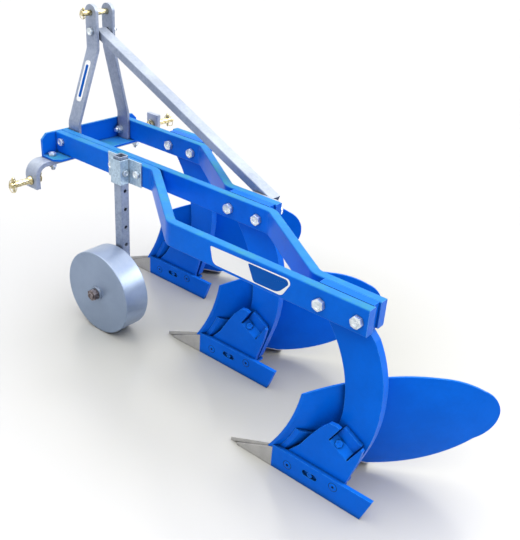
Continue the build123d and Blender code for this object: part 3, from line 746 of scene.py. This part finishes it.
@dataclass
class FinishShop:
    """Every finish of the plough, made once, and the pieces and nodes that wear them."""

    effects: EffectShop = field(default_factory=EffectShop)
    made: dict[FinishName, bpy.types.Material] = field(default_factory=dict)
    slots: dict[FinishName, str] = field(default_factory=dict)
    merge_distance: float = 1e-6
    sliver_distance: float = 1e-7

    def build(self) -> None:
        """Makes every finish."""
        self.effects.build()
        for name, recipe in RECIPES.items():
            self.made[name] = recipe.complete(name.value, self.effects)
            self.slots[name] = recipe.slot.value

    def dress_nodes(self, finish: FinishName, *nodes: str) -> None:
        """Puts a finish on CAD nodes, in place of the materials that they came with.

        Args:
            finish: The finish.
            nodes: The nodes' names.
        """
        for node in nodes:
            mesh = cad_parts[node].data
            mesh.materials.clear()
            mesh.materials.append(self.made[finish])

    def piece(self, name: str, shell: Shell, finish: FinishName, body: str = "frame",
              smooth: float = 35.0) -> None:
        """Makes a piece at the origin from a shell and parents it to an empty named after a CAD body.

        Args:
            name: The piece's name.
            shell: Its surface in row metres.
            finish: Its finish.
            body: The CAD body whose name the parent empty takes.
            smooth: Angle in degrees past which an edge stays sharp.
        """
        mesh = bpy.data.meshes.new(name)
        mesh.from_pydata(shell.points.tolist(), [], shell.faces.tolist())
        work = bmesh.new()
        work.from_mesh(mesh)
        bmesh.ops.remove_doubles(work, verts=work.verts, dist=self.merge_distance)
        bmesh.ops.dissolve_degenerate(work, edges=work.edges, dist=self.sliver_distance)
        bmesh.ops.recalc_face_normals(work, faces=work.faces)
        work.to_mesh(mesh)
        work.free()
        mesh.shade_smooth()
        mesh.set_sharp_from_angle(angle=radians(smooth))
        mesh.materials.append(self.made[finish])
        thing = bpy.data.objects.new(name, mesh)
        bpy.context.scene.collection.objects.link(thing)
        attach(thing, body)


# Fasteners and blank plates, with their sizes in millimetres

SEAT_GAP = 0.2
STRIP_ROUNDING = 0.45


@dataclass(frozen=True)
class ScrewSize:
    """Sizes of one metric screw."""

    diameter: float
    across: float
    head: float
    nut: float
    washer: float
    washer_thickness: float
    pitch: float


M20 = ScrewSize(20.0, across=30.0, head=12.5, nut=16.0, washer=36.0, washer_thickness=3.0, pitch=2.5)
M16 = ScrewSize(16.0, across=24.0, head=10.0, nut=13.0, washer=30.0, washer_thickness=3.0, pitch=2.0)
M12 = ScrewSize(12.0, across=19.0, head=7.5, nut=10.0, washer=24.0, washer_thickness=2.5, pitch=1.75)
M10 = ScrewSize(10.0, across=16.0, head=6.4, nut=8.0, washer=20.0, washer_thickness=2.0, pitch=1.5)


@dataclass(frozen=True)
class Bolt:
    """A hexagon bolt: head on one face and washer, nut and thread end on the far one.

    Its rim and dish are shares of half its width. A bolt without a grip is a head alone.
    """

    size: ScrewSize
    grip: float = 0.0
    tail: float = 7.0
    steps: int = 48
    rim_share: float = 0.94
    cone: float = radians(30.0)
    dish_top: float = 0.62
    dish_floor: float = 0.52
    dish_depth: float = 1.4
    dish_bowl: float = 0.2
    nut_play: float = 0.1
    nut_chamfer: float = 1.2
    washer_play: float = 0.5
    washer_bevel: float = 0.4
    thread_depth: float = 0.55
    thread_start: float = 2.0
    rows_per_turn: int = 8
    far_roll: float = 17.0

    def corner(self) -> tuple[float, np.ndarray, np.ndarray]:
        """Sizes of the hexagon where a cone cuts its corners down.

        Returns:
            The rim's radius, the hexagon's radius, and how far the cone falls from the rim to it.
        """
        rim = self.rim_share * self.size.across / 2.0
        side = hexagon(self.size.across, self.steps)
        return rim, side, (side - rim) * tan(self.cone)

    def head(self) -> Shell:
        """Head on Z = 0: a hexagon cut by a cone, with a shallow dish on top.

        Returns:
            The head's shell.
        """
        half = self.size.across / 2.0
        rim, side, drop = self.corner()
        top = self.size.head
        floor = top - self.dish_depth
        rows = [(0.0, 0.0), (side, 0.0), (side, top - drop), (rim, top), (self.dish_top * half, top),
                (self.dish_floor * half, floor), (0.0, floor - self.dish_bowl)]
        return turned(rows, self.steps)

    def nut(self, base: float) -> Shell:
        """Nut from a height up: a hexagon cut by a cone at both ends, with its bore.

        Args:
            base: Height of its lower face.

        Returns:
            The nut's shell.
        """
        rim, side, drop = self.corner()
        bore = self.size.diameter / 2.0 + self.nut_play
        top = base + self.size.nut
        rows = [(bore, base), (rim, base), (side, base + drop), (side, top - drop), (rim, top),
                (bore + self.nut_chamfer, top), (bore, top - self.nut_chamfer)]
        return turned(rows, self.steps, ring=True)

    def washer(self) -> Shell:
        """Flat washer on Z = 0, with small bevels on its rim.

        Returns:
            The washer's shell.
        """
        inner = self.size.diameter / 2.0 + self.washer_play
        outer = self.size.washer / 2.0
        top = self.size.washer_thickness
        bevel = self.washer_bevel
        rows = [(inner, 0.0), (outer - bevel, 0.0), (outer, bevel), (outer, top - bevel),
                (outer - bevel, top), (inner, top)]
        return turned(rows, self.steps, ring=True)

    def thread(self, base: float, length: float) -> Shell:
        """Thread end: r is R less the depth times a triangle wave of z over pitch less a over a turn.

        Args:
            base: Height of its lower end.
            length: Its length, with the last thread cut down to a chamfer.

        Returns:
            The thread's shell.
        """
        pitch = self.size.pitch
        outer = self.size.diameter / 2.0
        depth = self.thread_depth * pitch
        height = np.linspace(0.0, length, int(length / pitch * self.rows_per_turn))[:, None]
        phase = height / pitch - turn_angles(self.steps)[None] / (2.0 * pi)
        wave = np.abs(2.0 * (phase - np.floor(phase + 0.5)))
        radius = np.minimum(outer - depth * wave, outer - depth + (length - height))
        rows = [(0.0, base), *zip(radius, base + height[:, 0]), (0.0, base + length)]
        return turned(rows, self.steps)

    def shell(self, origin: Vector, outward: Vector, roll: float) -> Shell:
        """Whole bolt, with its head on the face at the origin and its nut on the face behind it.

        Args:
            origin: Point on the head's face, in row metres.
            outward: Direction in which the head stands out.
            roll: Turn about its axis in degrees.

        Returns:
            The bolt's shell in row metres.
        """
        front = self.head().moved(stand_on(origin, outward, roll))
        if not self.grip:
            return front
        far = origin - outward.normalized() * self.grip * MM
        behind = stand_on(far, -outward, self.far_roll - roll)
        seat = self.size.washer_thickness
        end = self.thread(seat + self.thread_start, self.size.nut + self.tail - self.thread_start)
        return front.joined(*[part.moved(behind) for part in (self.washer(), self.nut(seat), end)])


@dataclass(frozen=True)
class FlushScrew:
    """A countersunk plough screw: a low crowned head with a hexagon socket, and painted shade round it and in
    its socket.

    Shoulder and flat are shares of its radius, the shoulder's height a share of the crown.
    """

    radius: float = 12.0
    crown: float = 1.3
    socket: float = 8.0
    steps: int = 48
    root: float = 0.6
    rim: float = 0.25
    shoulder: tuple[float, float] = (0.86, 0.85)
    flat: float = 0.6
    lip: tuple[float, float] = (0.5, 0.4)
    socket_taper: float = 0.96
    socket_floor: tuple[float, float] = (0.12, 0.05)
    gap_ring: tuple[float, float] = (-0.4, 1.6)
    gap_heights: tuple[float, float] = (0.12, 0.3)
    gap_root: float = 0.5
    core_play: float = 0.1

    def shell(self, origin: Vector, outward: Vector, roll: float) -> Shell:
        """Head on the face at the origin: its crown falls to the rim and its socket nearly to the face.

        Args:
            origin: Point on the face, in row metres.
            outward: Direction in which the face looks.
            roll: Turn about its axis in degrees.

        Returns:
            The head's shell in row metres.
        """
        side = hexagon(self.socket, self.steps)
        edge, fall = self.shoulder
        wall, depth = self.socket_floor
        rows = [(0.0, -self.root), (self.radius, -self.root), (self.radius, self.rim),
                (edge * self.radius, fall * self.crown), (self.flat * self.radius, self.crown),
                (side + self.lip[0], self.crown), (side, self.crown - self.lip[1]),
                (side * self.socket_taper, wall), (0.0, depth)]
        return turned(rows, self.steps).moved(stand_on(origin, outward, roll))

    def gap(self, origin: Vector, outward: Vector) -> Shell:
        """Painted shade: a dark ring round the head and a dark disc in its socket, two flat turned shapes.

        Args:
            origin: Point on the face, in row metres.
            outward: Direction in which the face looks.

        Returns:
            Both as one shell in row metres.
        """
        inner, outer = (self.radius + play for play in self.gap_ring)
        ring_top, core_top = self.gap_heights
        core = self.socket / 2.0 - self.core_play
        ring = [(inner, -self.gap_root), (outer, -self.gap_root), (outer, ring_top), (inner, ring_top)]
        disc = [(0.0, -self.gap_root), (core, -self.gap_root), (core, core_top), (0.0, core_top)]
        both = turned(ring, self.steps, ring=True).joined(turned(disc, self.steps // 2))
        return both.moved(stand_on(origin, outward))


@dataclass(frozen=True)
class LinchPin:
    """A linch pin: tapered shaft, coned head and a spring ring round the pin that it locks.

    The tip's rows are a share of the shaft's radius and a height above the tip. The knob's rows are a
    share of that radius and a share of the head's height.
    """

    shaft: float
    host: float
    reach: float
    head: float
    ring: float
    wire: float = 1.4
    tip: tuple[tuple[float, float], ...] = ((0.0, 0.0), (0.55, 0.0), (0.9, 3.0), (1.0, 8.0))
    collar: tuple[float, float] = (1.5, 0.6)
    knob: tuple[tuple[float, float], ...] = ((1.55, 0.35), (1.1, 0.8), (0.5, 1.0), (0.0, 1.0))
    eye_share: float = 0.45
    shaft_steps: int = 28
    ring_steps: int = 72
    wire_steps: int = 10

    def shell(self, origin: Vector, towards_tip: Vector, roll: float) -> Shell:
        """Linch pin through a point on the host pin's axis: a turned profile, and a leaning circle.

        At angle a the circle stands r sin a to the side, falls by r less r cos a below the eye, and
        leans out by that fall times the tangent of the roll.

        Args:
            origin: Where its shaft crosses the host pin's axis, in row metres.
            towards_tip: Direction to the host pin's tip.
            roll: How far the ring swings out to the tip, in degrees.

        Returns:
            Shaft, head and ring as one shell in row metres.
        """
        rows = [(share * self.shaft, rise - self.reach) for share, rise in self.tip]
        rows += [(self.shaft, self.host), (self.collar[0] * self.shaft, self.host + self.collar[1])]
        rows += [(share * self.shaft, self.host + rise * self.head) for share, rise in self.knob]
        angles = turn_angles(self.ring_steps)
        fall = self.ring * (1.0 - np.cos(angles))
        eye = self.host + self.eye_share * self.head
        path = np.stack([tan(radians(roll)) * fall, self.ring * np.sin(angles), eye - fall], -1)
        ring = swept(path, self.wire, self.wire_steps, closed=True)
        up = Way.UP.vector()
        stand = columns_at(origin, towards_tip, up.cross(towards_tip), up)
        return turned(rows, self.shaft_steps).joined(ring).moved(stand)


@dataclass(frozen=True)
class SplitPin:
    """A split pin: a straight wire with one bent end and a round eye at the other."""

    length: float = 34.0
    wire: float = 1.5
    eye: float = 3.2
    eye_height: float = 20.0
    bend: float = 3.2
    bend_from: float = 0.8
    wire_steps: int = 8
    wire_points: int = 40
    eye_points: int = 24

    def shell(self) -> Shell:
        """Split pin about Z: the wire leaves the axis by a sine near its end, and the eye is a circle.

        Returns:
            Wire and eye as one shell in metres.
        """
        t = np.linspace(0.0, 1.0, self.wire_points)
        aside = self.bend * np.sin(pi * t) * (t > self.bend_from)
        wire = np.stack([aside, 0.0 * t, self.length * (t - 0.5)], -1)
        a = np.linspace(-0.5 * pi, 1.5 * pi, self.eye_points)
        eye = np.stack([0.0 * a, self.eye * np.cos(a), self.eye_height + self.eye * np.sin(a)], -1)
        return swept(wire, self.wire, self.wire_steps).joined(swept(eye, self.wire, self.wire_steps))


@dataclass(frozen=True)
class BlankPlate:
    """A blank plate with rounded corners, drawn in its own plane."""

    name: str
    corners: tuple[tuple[float, float], ...]
    rounding: tuple[float, ...]
    thickness: float
    finish: FinishName
    bevel: float = 0.15
    smooth: float = 20.0

    def add(self, finishes: FinishShop, stand: Matrix) -> None:
        """Adds the plate to the frame, where the matrix puts its plane."""
        outline = rounded_outline(np.array(self.corners), np.array(self.rounding))
        shell = plate(outline, self.thickness, self.bevel).moved(stand)
        finishes.piece(self.name, shell, self.finish, smooth=self.smooth)


def strip(name: str, length: float, width: float, thickness: float, finish: FinishName) -> BlankPlate:
    """Draws a blank plate as a long strip with nearly round ends.

    Args:
        name: The piece's name.
        length: Length along its X.
        width: Width along its Y.
        thickness: Height of its top.
        finish: Its finish.

    Returns:
        The plate, about its own middle.
    """
    x, y = length / 2.0, width / 2.0
    corners = ((-x, -y), (x, -y), (x, y), (-x, y))
    return BlankPlate(name, corners, (STRIP_ROUNDING * width,) * len(corners), thickness, finish)


# Sub-assemblies


@dataclass
class FrameBars:
    """Bent beams and the cheek, with the bolts that clamp the legs and the blank sign."""

    finishes: FinishShop
    bolt_height: float = 562.0
    bolt_rows: tuple[tuple[str, float, float], ...] = (("front", -60.0, 11.0), ("rear", -170.0, 24.0))
    pack_widths: tuple[tuple[int, float], ...] = ((1, 81.0), (2, 89.0), (3, 81.0))
    roll_step: float = 9.0
    sign_face: float = -296.0
    sign: tuple[BlankPlate, ...] = (
        BlankPlate(
            "sign_plate", ((-298.0, 588.0), (-287.0, 537.5), (-54.0, 536.5), (-29.0, 580.0), (-37.0, 591.5)),
            (6.0, 17.0, 11.0, 8.0, 6.0), 0.5, FinishName.SIGN_WHITE),
        BlankPlate(
            "sign_panel", ((-168.0, 586.5), (-146.5, 540.0), (-66.0, 541.0), (-34.5, 577.0), (-41.0, 587.5)),
            (7.0, 8.0, 18.0, 7.0, 6.0), 0.7, FinishName.SIGN_BLUE),
    )

    def add_leg_bolts(self) -> int:
        """Adds the two bolts through each leg and gives their number."""
        for number, width in self.pack_widths:
            for row, y, roll in self.bolt_rows:
                origin = body_point(number, 0.0, y, self.bolt_height)
                shell = Bolt(M20, width).shell(origin, Way.LEFT.vector(), roll + self.roll_step * number)
                self.finishes.piece(f"leg_bolt_{row}_{number}", shell, FinishName.ZINC)
        return len(self.pack_widths) * len(self.bolt_rows)

    def add_sign(self) -> int:
        """Adds the blank white plate on the left beam and its plain blue panel, and gives their number."""
        face = place(self.sign_face, 0.0, 0.0)
        stand = columns_at(face, Way.BACK.vector(), Way.UP.vector(), Way.LEFT.vector())
        for part in self.sign:
            part.add(self.finishes, stand)
        return len(self.sign)

    def build(self) -> int:
        """Paints the bars and adds their pieces."""
        self.finishes.dress_nodes(FinishName.BLUE, "beam_left", "beam_middle", "beam_right", "beam_cheek")
        return self.add_sign() + self.add_leg_bolts()


@dataclass(frozen=True)
class BoltPlace:
    """Where one bolt stands: the point on its head's face, the way it looks, and its roll."""

    name: str
    bolt: Bolt
    at: Point
    outward: Way
    roll: float

    def add(self, finishes: FinishShop) -> None:
        """Adds the bolt to the frame, plated."""
        shell = self.bolt.shell(place(*self.at), self.outward.vector(), self.roll)
        finishes.piece(self.name, shell, FinishName.ZINC)


@dataclass
class Headstock:
    """Cross angle, mast, brace and cross bar, with their bolts, link pins and linch pins."""

    finishes: FinishShop
    left_pin: Point = (-253.0, 1240.0, 455.0)
    right_pin: Point = (470.0, 1240.0, 547.0)
    top_pin: Point = (62.0, 1227.0, 999.0)
    lower_linch: LinchPin = LinchPin(shaft=5.0, host=11.0, reach=25.0, head=17.0, ring=22.0)
    upper_linch: LinchPin = LinchPin(shaft=2.8, host=9.5, reach=19.0, head=9.0, ring=16.0, wire=1.1)
    left_nut: Point = (-167.0, 1240.0, 455.0)
    right_nut: Point = (384.0, 1240.0, 547.0)
    nut_roll: float = 14.0
    split_reach: float = 19.0
    split_lean: float = 20.0
    bolts: tuple[BoltPlace, ...] = (
        BoltPlace("mast_foot_bolt_left", Bolt(M16, 68.0, 10.0), (-60.0, 1224.0, 572.0), Way.LEFT, 5.0),
        BoltPlace("mast_foot_bolt_right", Bolt(M16, 40.0, 10.0), (260.0, 1238.0, 561.0), Way.RIGHT, 20.0),
        BoltPlace("mast_brace_bolt", Bolt(M16, 83.0, 10.0), (90.5, 1227.0, 937.0), Way.LEFT, 12.0),
        BoltPlace("shelf_bolt_left", Bolt(M16, 26.0, 10.0), (-95.0, 1234.0, 527.5), Way.UP, 8.0),
        BoltPlace("shelf_bolt_right", Bolt(M16, 26.0, 10.0), (286.0, 1230.0, 527.5), Way.UP, 21.0),
    )
    label: tuple[BlankPlate, ...] = (
        strip("mast_label_plate", 146.0, 27.0, 0.5, FinishName.SIGN_WHITE),
        strip("mast_label_panel", 116.0, 13.0, 0.7, FinishName.SIGN_BLUE),
    )
    lean_start: Point = (2.0, 1228.5, 628.0)
    lean_run: Point = (94.5, 0.0, 248.0)
    label_share: float = 0.569
    half_bar: float = 6.0

    def dress(self) -> None:
        """Puts the finishes on the CAD pieces."""
        self.finishes.dress_nodes(FinishName.BLUE, "front_cross_angle")
        self.finishes.dress_nodes(FinishName.SILVER, "mast_left", "mast_right", "mast_brace", "cross_bar")
        pins = ("top_link_pin", "lower_link_pin_left", "lower_link_pin_right")
        self.finishes.dress_nodes(FinishName.YELLOW, *pins)

    def add_bolts(self) -> int:
        """Adds the bolts of the mast and the cross bar, and gives their number."""
        for spot in self.bolts:
            spot.add(self.finishes)
        return len(self.bolts)

    def add_mast_label(self) -> int:
        """Adds the blank label on the left mast bar's leaning run: a white plate and a blue panel.

        Returns:
            The number of pieces.
        """
        along = Vector(self.lean_run).normalized()
        ahead = Way.FRONT.vector()
        face = along.cross(ahead)
        middle = Vector(self.lean_start) + Vector(self.lean_run) * self.label_share + face * self.half_bar
        for part in self.label:
            part.add(self.finishes, columns_at(place(*middle), along, ahead, face))
        return len(self.label)

    def add_linch_pins(self) -> int:
        """Adds a linch pin to each link pin, and gives their number."""
        rows = (
            ("linch_pin_left", self.lower_linch, self.left_pin, Way.LEFT, 9.0),
            ("linch_pin_right", self.lower_linch, self.right_pin, Way.RIGHT, 14.0),
            ("linch_pin_top", self.upper_linch, self.top_pin, Way.LEFT, 10.0),
        )
        for name, pin, spot, tip, roll in rows:
            self.finishes.piece(name, pin.shell(place(*spot), tip.vector(), roll), FinishName.YELLOW)
        return len(rows)

    def add_pin_nuts(self) -> int:
        """Adds a nut and its split pin behind each lower link pin, and gives their number."""
        rows = (("left", self.left_nut, Way.RIGHT), ("right", self.right_nut, Way.LEFT))
        for side, at, inward in rows:
            spot = place(*at)
            nut = Bolt(M20).nut(SEAT_GAP).moved(stand_on(spot, inward.vector(), self.nut_roll))
            across = Matrix.Translation(spot + inward.vector() * self.split_reach * MM)
            split = SplitPin().shell().moved(across @ Matrix.Rotation(radians(self.split_lean), 4, "X"))
            self.finishes.piece(f"lower_pin_nut_{side}", nut.joined(split), FinishName.YELLOW)
        return len(rows)

    def build(self) -> int:
        """Dresses the headstock and adds its pieces."""
        self.dress()
        return self.add_bolts() + self.add_mast_label() + self.add_linch_pins() + self.add_pin_nuts()


@dataclass
class GaugeWheel:
    """Omega clamp, post, axle and drum wheel, with the clamp's bolts and the post's locking bolt."""

    finishes: FinishShop
    bolts: tuple[BoltPlace, ...] = (
        BoltPlace("clamp_bolt_rear", Bolt(M16, 61.0), (-65.0, 834.0, 568.0), Way.LEFT, 13.0),
        BoltPlace("clamp_bolt_front", Bolt(M16, 61.0), (-65.0, 951.0, 568.0), Way.LEFT, 4.0),
    )
    lock_head: Point = (-83.0, 871.5, 566.0)
    lock_nut: Point = (-80.0, 918.5, 566.0)
    lock_roll: float = 7.0

    def dress(self) -> None:
        """Puts the finishes on the CAD pieces."""
        self.finishes.dress_nodes(FinishName.CLAMP, "wheel_clamp")
        self.finishes.dress_nodes(FinishName.POST, "wheel_post")
        self.finishes.dress_nodes(FinishName.WHEEL, "gauge_wheel")
        self.finishes.dress_nodes(FinishName.AXLE, "wheel_axle")

    def add_bolts(self) -> int:
        """Adds the clamp's two bolts through the beams and the locking bolt, and gives their number."""
        for spot in self.bolts:
            spot.add(self.finishes)
        head = Bolt(M12).shell(place(*self.lock_head), Way.BACK.vector(), self.lock_roll)
        stand = stand_on(place(*self.lock_nut), Way.FRONT.vector(), self.lock_roll)
        nut = Bolt(M12).nut(SEAT_GAP).moved(stand)
        self.finishes.piece("post_lock_bolt", head.joined(nut), FinishName.ZINC)
        return len(self.bolts) + 1

    def build(self) -> int:
        """Dresses the wheel group and adds its pieces."""
        self.dress()
        return self.add_bolts()


@dataclass
class PloughBody:
    """One plough body: leg, frog, landside, share, mouldboard and stay, with its plough screws."""

    finishes: FinishShop
    number: int
    landside_face: float = -17.0
    landside_screws: tuple[Point, ...] = ((-29.0, 36.0, 10.0), (-179.0, 53.0, 25.0))
    slot_screw: Point = (-10.0, -103.0, 45.0)
    slot_roll: float = 5.0
    tab_bolt: Point = (5.7, -166.5, 180.0)
    tab_slope: Point = (-0.61, -0.4, 0.69)
    tab_roll: float = 14.0
    board_start: tuple[float, float] = (-15.0, 47.0)
    board_screws: tuple[tuple[float, float], ...] = ((62.0, 128.0), (122.0, 126.0), (118.0, 78.0))
    share_screws: tuple[tuple[float, float], ...] = ((48.0, 34.0), (116.0, 28.0))
    board_screw: FlushScrew = FlushScrew(radius=11.0)
    board_roll: float = 5.0
    search_reach: float = 0.4

    def dress(self) -> None:
        """Paints the body and leaves its share bare."""
        blue = ("leg", "frog", "landside", "mouldboard", "mouldboard_stay")
        self.finishes.dress_nodes(FinishName.BODY_BLUE, *[f"{name}_{self.number}" for name in blue])
        self.finishes.dress_nodes(FinishName.SHARE, f"share_{self.number}")

    def node_tree(self, node: str) -> BVHTree:
        """Search tree over a node's faces.

        Args:
            node: The node's name without the body's number.

        Returns:
            The tree.
        """
        work = bmesh.new()
        work.from_mesh(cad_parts[f"{node}_{self.number}"].data)
        tree = BVHTree.FromBMesh(work)
        work.free()
        return tree

    def on_board(self, tree: BVHTree, along: float, height: float) -> tuple[Vector, Vector] | None:
        """Finds where a line across the board meets a node, looking back from its soil side.

        Args:
            tree: The node's search tree.
            along: Distance along the board in millimetres.
            height: Height in millimetres.

        Returns:
            The point and the face's outward normal, or None where the line misses.
        """
        start = body_point(self.number, *self.board_start, height) + ALONG_BOARD * along * MM
        hit, normal, _, _ = tree.ray_cast(start + ACROSS_BOARD * self.search_reach, -ACROSS_BOARD)
        if hit is None:
            return None
        return hit, normal if normal.dot(ACROSS_BOARD) > 0.0 else -normal

    def add_landside_screws(self) -> int:
        """Adds the landside's two socket screws with painted shade round them and in their sockets, and the
        screw in its slot.

        Returns:
            The number of pieces.
        """
        left = Way.LEFT.vector()
        slot = Bolt(M10).shell(body_point(self.number, *self.slot_screw), left, self.slot_roll)
        heads = []
        gap_shades = []
        for y, z, roll in self.landside_screws:
            spot = body_point(self.number, self.landside_face, y, z)
            heads.append(FlushScrew().shell(spot, left, roll))
            # The dark ring and disc are painted shade.
            gap_shades.append(FlushScrew().gap(spot, left))
        pieces = (("screws", heads[0].joined(heads[1], slot), FinishName.BODY_BLUE),
                  ("gap_shades", gap_shades[0].joined(gap_shades[1]), FinishName.GAP_SHADE))
        for kind, shell, finish in pieces:
            self.finishes.piece(f"landside_{kind}_{self.number}", shell, finish)
        return len(pieces)

    def add_tab_bolt(self) -> int:
        """Adds the painted bolt that holds the frog's tab on the leg.

        Returns:
            The number of pieces.
        """
        origin = body_point(self.number, *self.tab_bolt)
        shell = Bolt(M12).shell(origin, Vector(self.tab_slope), self.tab_roll)
        self.finishes.piece(f"frog_bolt_{self.number}", shell, FinishName.BODY_BLUE)
        return 1

    def add_board_screws(self) -> int:
        """Adds the flush screws on the soil side of the mouldboard and the share.

        Returns:
            The number of pieces.
        """
        count = 0
        for node, finish, spots in (
            ("mouldboard", FinishName.BODY_BLUE, self.board_screws),
            ("share", FinishName.SHARE, self.share_screws),
        ):
            tree = self.node_tree(node)
            found = [self.on_board(tree, along, height) for along, height in spots]
            shells = [self.board_screw.shell(*spot, self.board_roll) for spot in found if spot]
            if shells:
                self.finishes.piece(f"{node}_screws_{self.number}", shells[0].joined(*shells[1:]), finish)
                count += 1
        return count

    def build(self) -> int:
        """Dresses the body, adds its pieces and gives their number."""
        self.dress()
        return self.add_landside_screws() + self.add_tab_bolt() + self.add_board_screws()


# Studio


@dataclass(frozen=True)
class Softbox:
    """A very wide soft light from far away."""

    name: str
    level: float
    spread: float
    towards: Point
    only_gloss: bool = False

    def hang(self) -> None:
        """Hangs the light so that it shines from its side onto the plough."""
        data = bpy.data.lights.new(self.name, "SUN")
        data.energy = self.level * pi
        data.angle = radians(self.spread)
        light = bpy.data.objects.new(self.name, data)
        light.matrix_world = Vector(self.towards).to_track_quat("Z", "Y").to_matrix().to_4x4()
        light.visible_diffuse = not self.only_gloss
        bpy.context.scene.collection.objects.link(light)


@dataclass
class Studio:
    """Pale floor, soft lights, white surroundings and the camera."""

    camera_at: Point = (-1585.196, -852.603, 1463.392)
    yaw: float = 0.97775
    pitch: float = 0.48186
    roll: float = 0.10098
    focal_pixels: float = 726.613
    principal: tuple[float, float] = (297.525, 261.014)
    picture: tuple[int, int] = (520, 540)
    sensor: float = 36.0
    clip: tuple[float, float] = (0.05, 200.0)
    floor_half: float = 80.0
    floor_drop: float = 0.0006
    floor_tone: float = 0.55
    floor_roughness: float = 0.27
    floor_specular: float = 0.55
    # Painted shadow under the plough: its share of the floor tone, and where it fades out.
    painted_shadow_share: Point = (0.79, 0.78, 0.7)
    painted_shadow_reach: tuple[float, float] = (1.15, 0.2)
    fill: float = 0.22
    lights: tuple[Softbox, ...] = (
        Softbox("overhead_softbox", level=1.62, spread=106.0, towards=(0.1, -0.06, 1.0)),
        Softbox("rim_softbox", level=0.9, spread=44.0, towards=(0.59, -0.55, 0.6), only_gloss=True),
    )

    def build_camera(self) -> None:
        """Sets the camera from the fitted yaw, pitch, roll, focal length and principal point."""
        ahead = Vector((cos(self.pitch) * sin(self.yaw), cos(self.pitch) * cos(self.yaw), -sin(self.pitch)))
        level = Vector((cos(self.yaw), -sin(self.yaw), 0.0))
        lift = level.cross(ahead)
        right = cos(self.roll) * level + sin(self.roll) * lift
        up = cos(self.roll) * lift - sin(self.roll) * level
        data = bpy.data.cameras.new("photo_camera")
        width, height = self.picture
        longer = max(width, height)
        data.sensor_width = self.sensor
        data.lens = self.focal_pixels / longer * self.sensor
        data.shift_x = (width / 2.0 - self.principal[0]) / longer
        data.shift_y = (self.principal[1] - height / 2.0) / longer
        data.clip_start, data.clip_end = self.clip
        camera = bpy.data.objects.new("photo_camera", data)
        camera.matrix_world = columns_at(place(*self.camera_at), right, up, -ahead)
        bpy.context.scene.collection.objects.link(camera)
        bpy.context.scene.camera = camera

    def build_floor(self) -> None:
        """Lays a wide pale floor with a faint polish, a little below the soles, with a painted shadow that
        makes it darker and warmer under them.
        """
        side = np.linspace(-self.floor_half, self.floor_half, 3)
        x, y = np.meshgrid(side, side, indexing="ij")
        shell = skin(np.stack([x, y, np.full_like(x, -self.floor_drop)], -1), wrap_columns=False)
        mesh = bpy.data.meshes.new("studio_floor")
        mesh.from_pydata(shell.points.tolist(), [], shell.faces[:, ::-1].tolist())
        floor = bpy.data.objects.new("studio_floor", mesh)
        bpy.context.scene.collection.objects.link(floor)
        material, graph, shader = fresh_material("studio_floor")
        away = graph.add("VectorMath", {0: graph.spot()}, operation="LENGTH").outputs["Value"]
        far_tone = tint(self.floor_tone, self.floor_tone, self.floor_tone)
        painted_shadow_tone = tint(*[self.floor_tone * share for share in self.painted_shadow_share])
        # Painted shadow: darker and warmer floor round the plough.
        colour = graph.blend(graph.window(away, *self.painted_shadow_reach), far_tone, painted_shadow_tone)
        graph.feed(shader, {"Base Color": colour, "Roughness": self.floor_roughness,
                            "Specular IOR Level": self.floor_specular})
        mesh.materials.append(material)

    def build_world(self) -> None:
        """Surroundings: a soft fill for the surfaces, and white for the camera, gloss and glass."""
        world = bpy.data.worlds.new("studio_world")
        world.use_nodes = True
        bpy.context.scene.world = world
        graph = Graph(world.node_tree)
        path = graph.add("LightPath").outputs
        seen = graph.plus(path["Is Camera Ray"], path["Is Glossy Ray"])
        seen = graph.plus(seen, path["Is Transmission Ray"], clamp=True)
        level = graph.plus(self.fill, graph.times(seen, 1.0 - self.fill))
        graph.feed(world.node_tree.nodes["Background"], {"Color": tint(1.0, 1.0, 1.0), "Strength": level})

    def build(self) -> int:
        """Builds the whole studio and gives the number of its pieces."""
        self.build_camera()
        self.build_floor()
        self.build_world()
        for light in self.lights:
            light.hang()
        bpy.context.scene.view_settings.view_transform = "Standard"
        return 3 + len(self.lights)


def main() -> None:
    """Builds every group in order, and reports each."""
    logging.basicConfig(level=logging.INFO, format="%(name)s: %(message)s")
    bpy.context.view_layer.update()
    finishes = FinishShop()
    finishes.build()
    LOG.info("finishes: %d", len(finishes.made))
    groups = [("frame bars", FrameBars(finishes)), ("headstock", Headstock(finishes)),
              ("gauge wheel", GaugeWheel(finishes))]
    groups += [(f"plough body {number}", PloughBody(finishes, number)) for number in BODY_PLACES]
    groups.append(("studio", Studio()))
    for name, group in groups:
        LOG.info("%s: %d pieces", name, group.build())


if __name__ == "__main__":
    main()
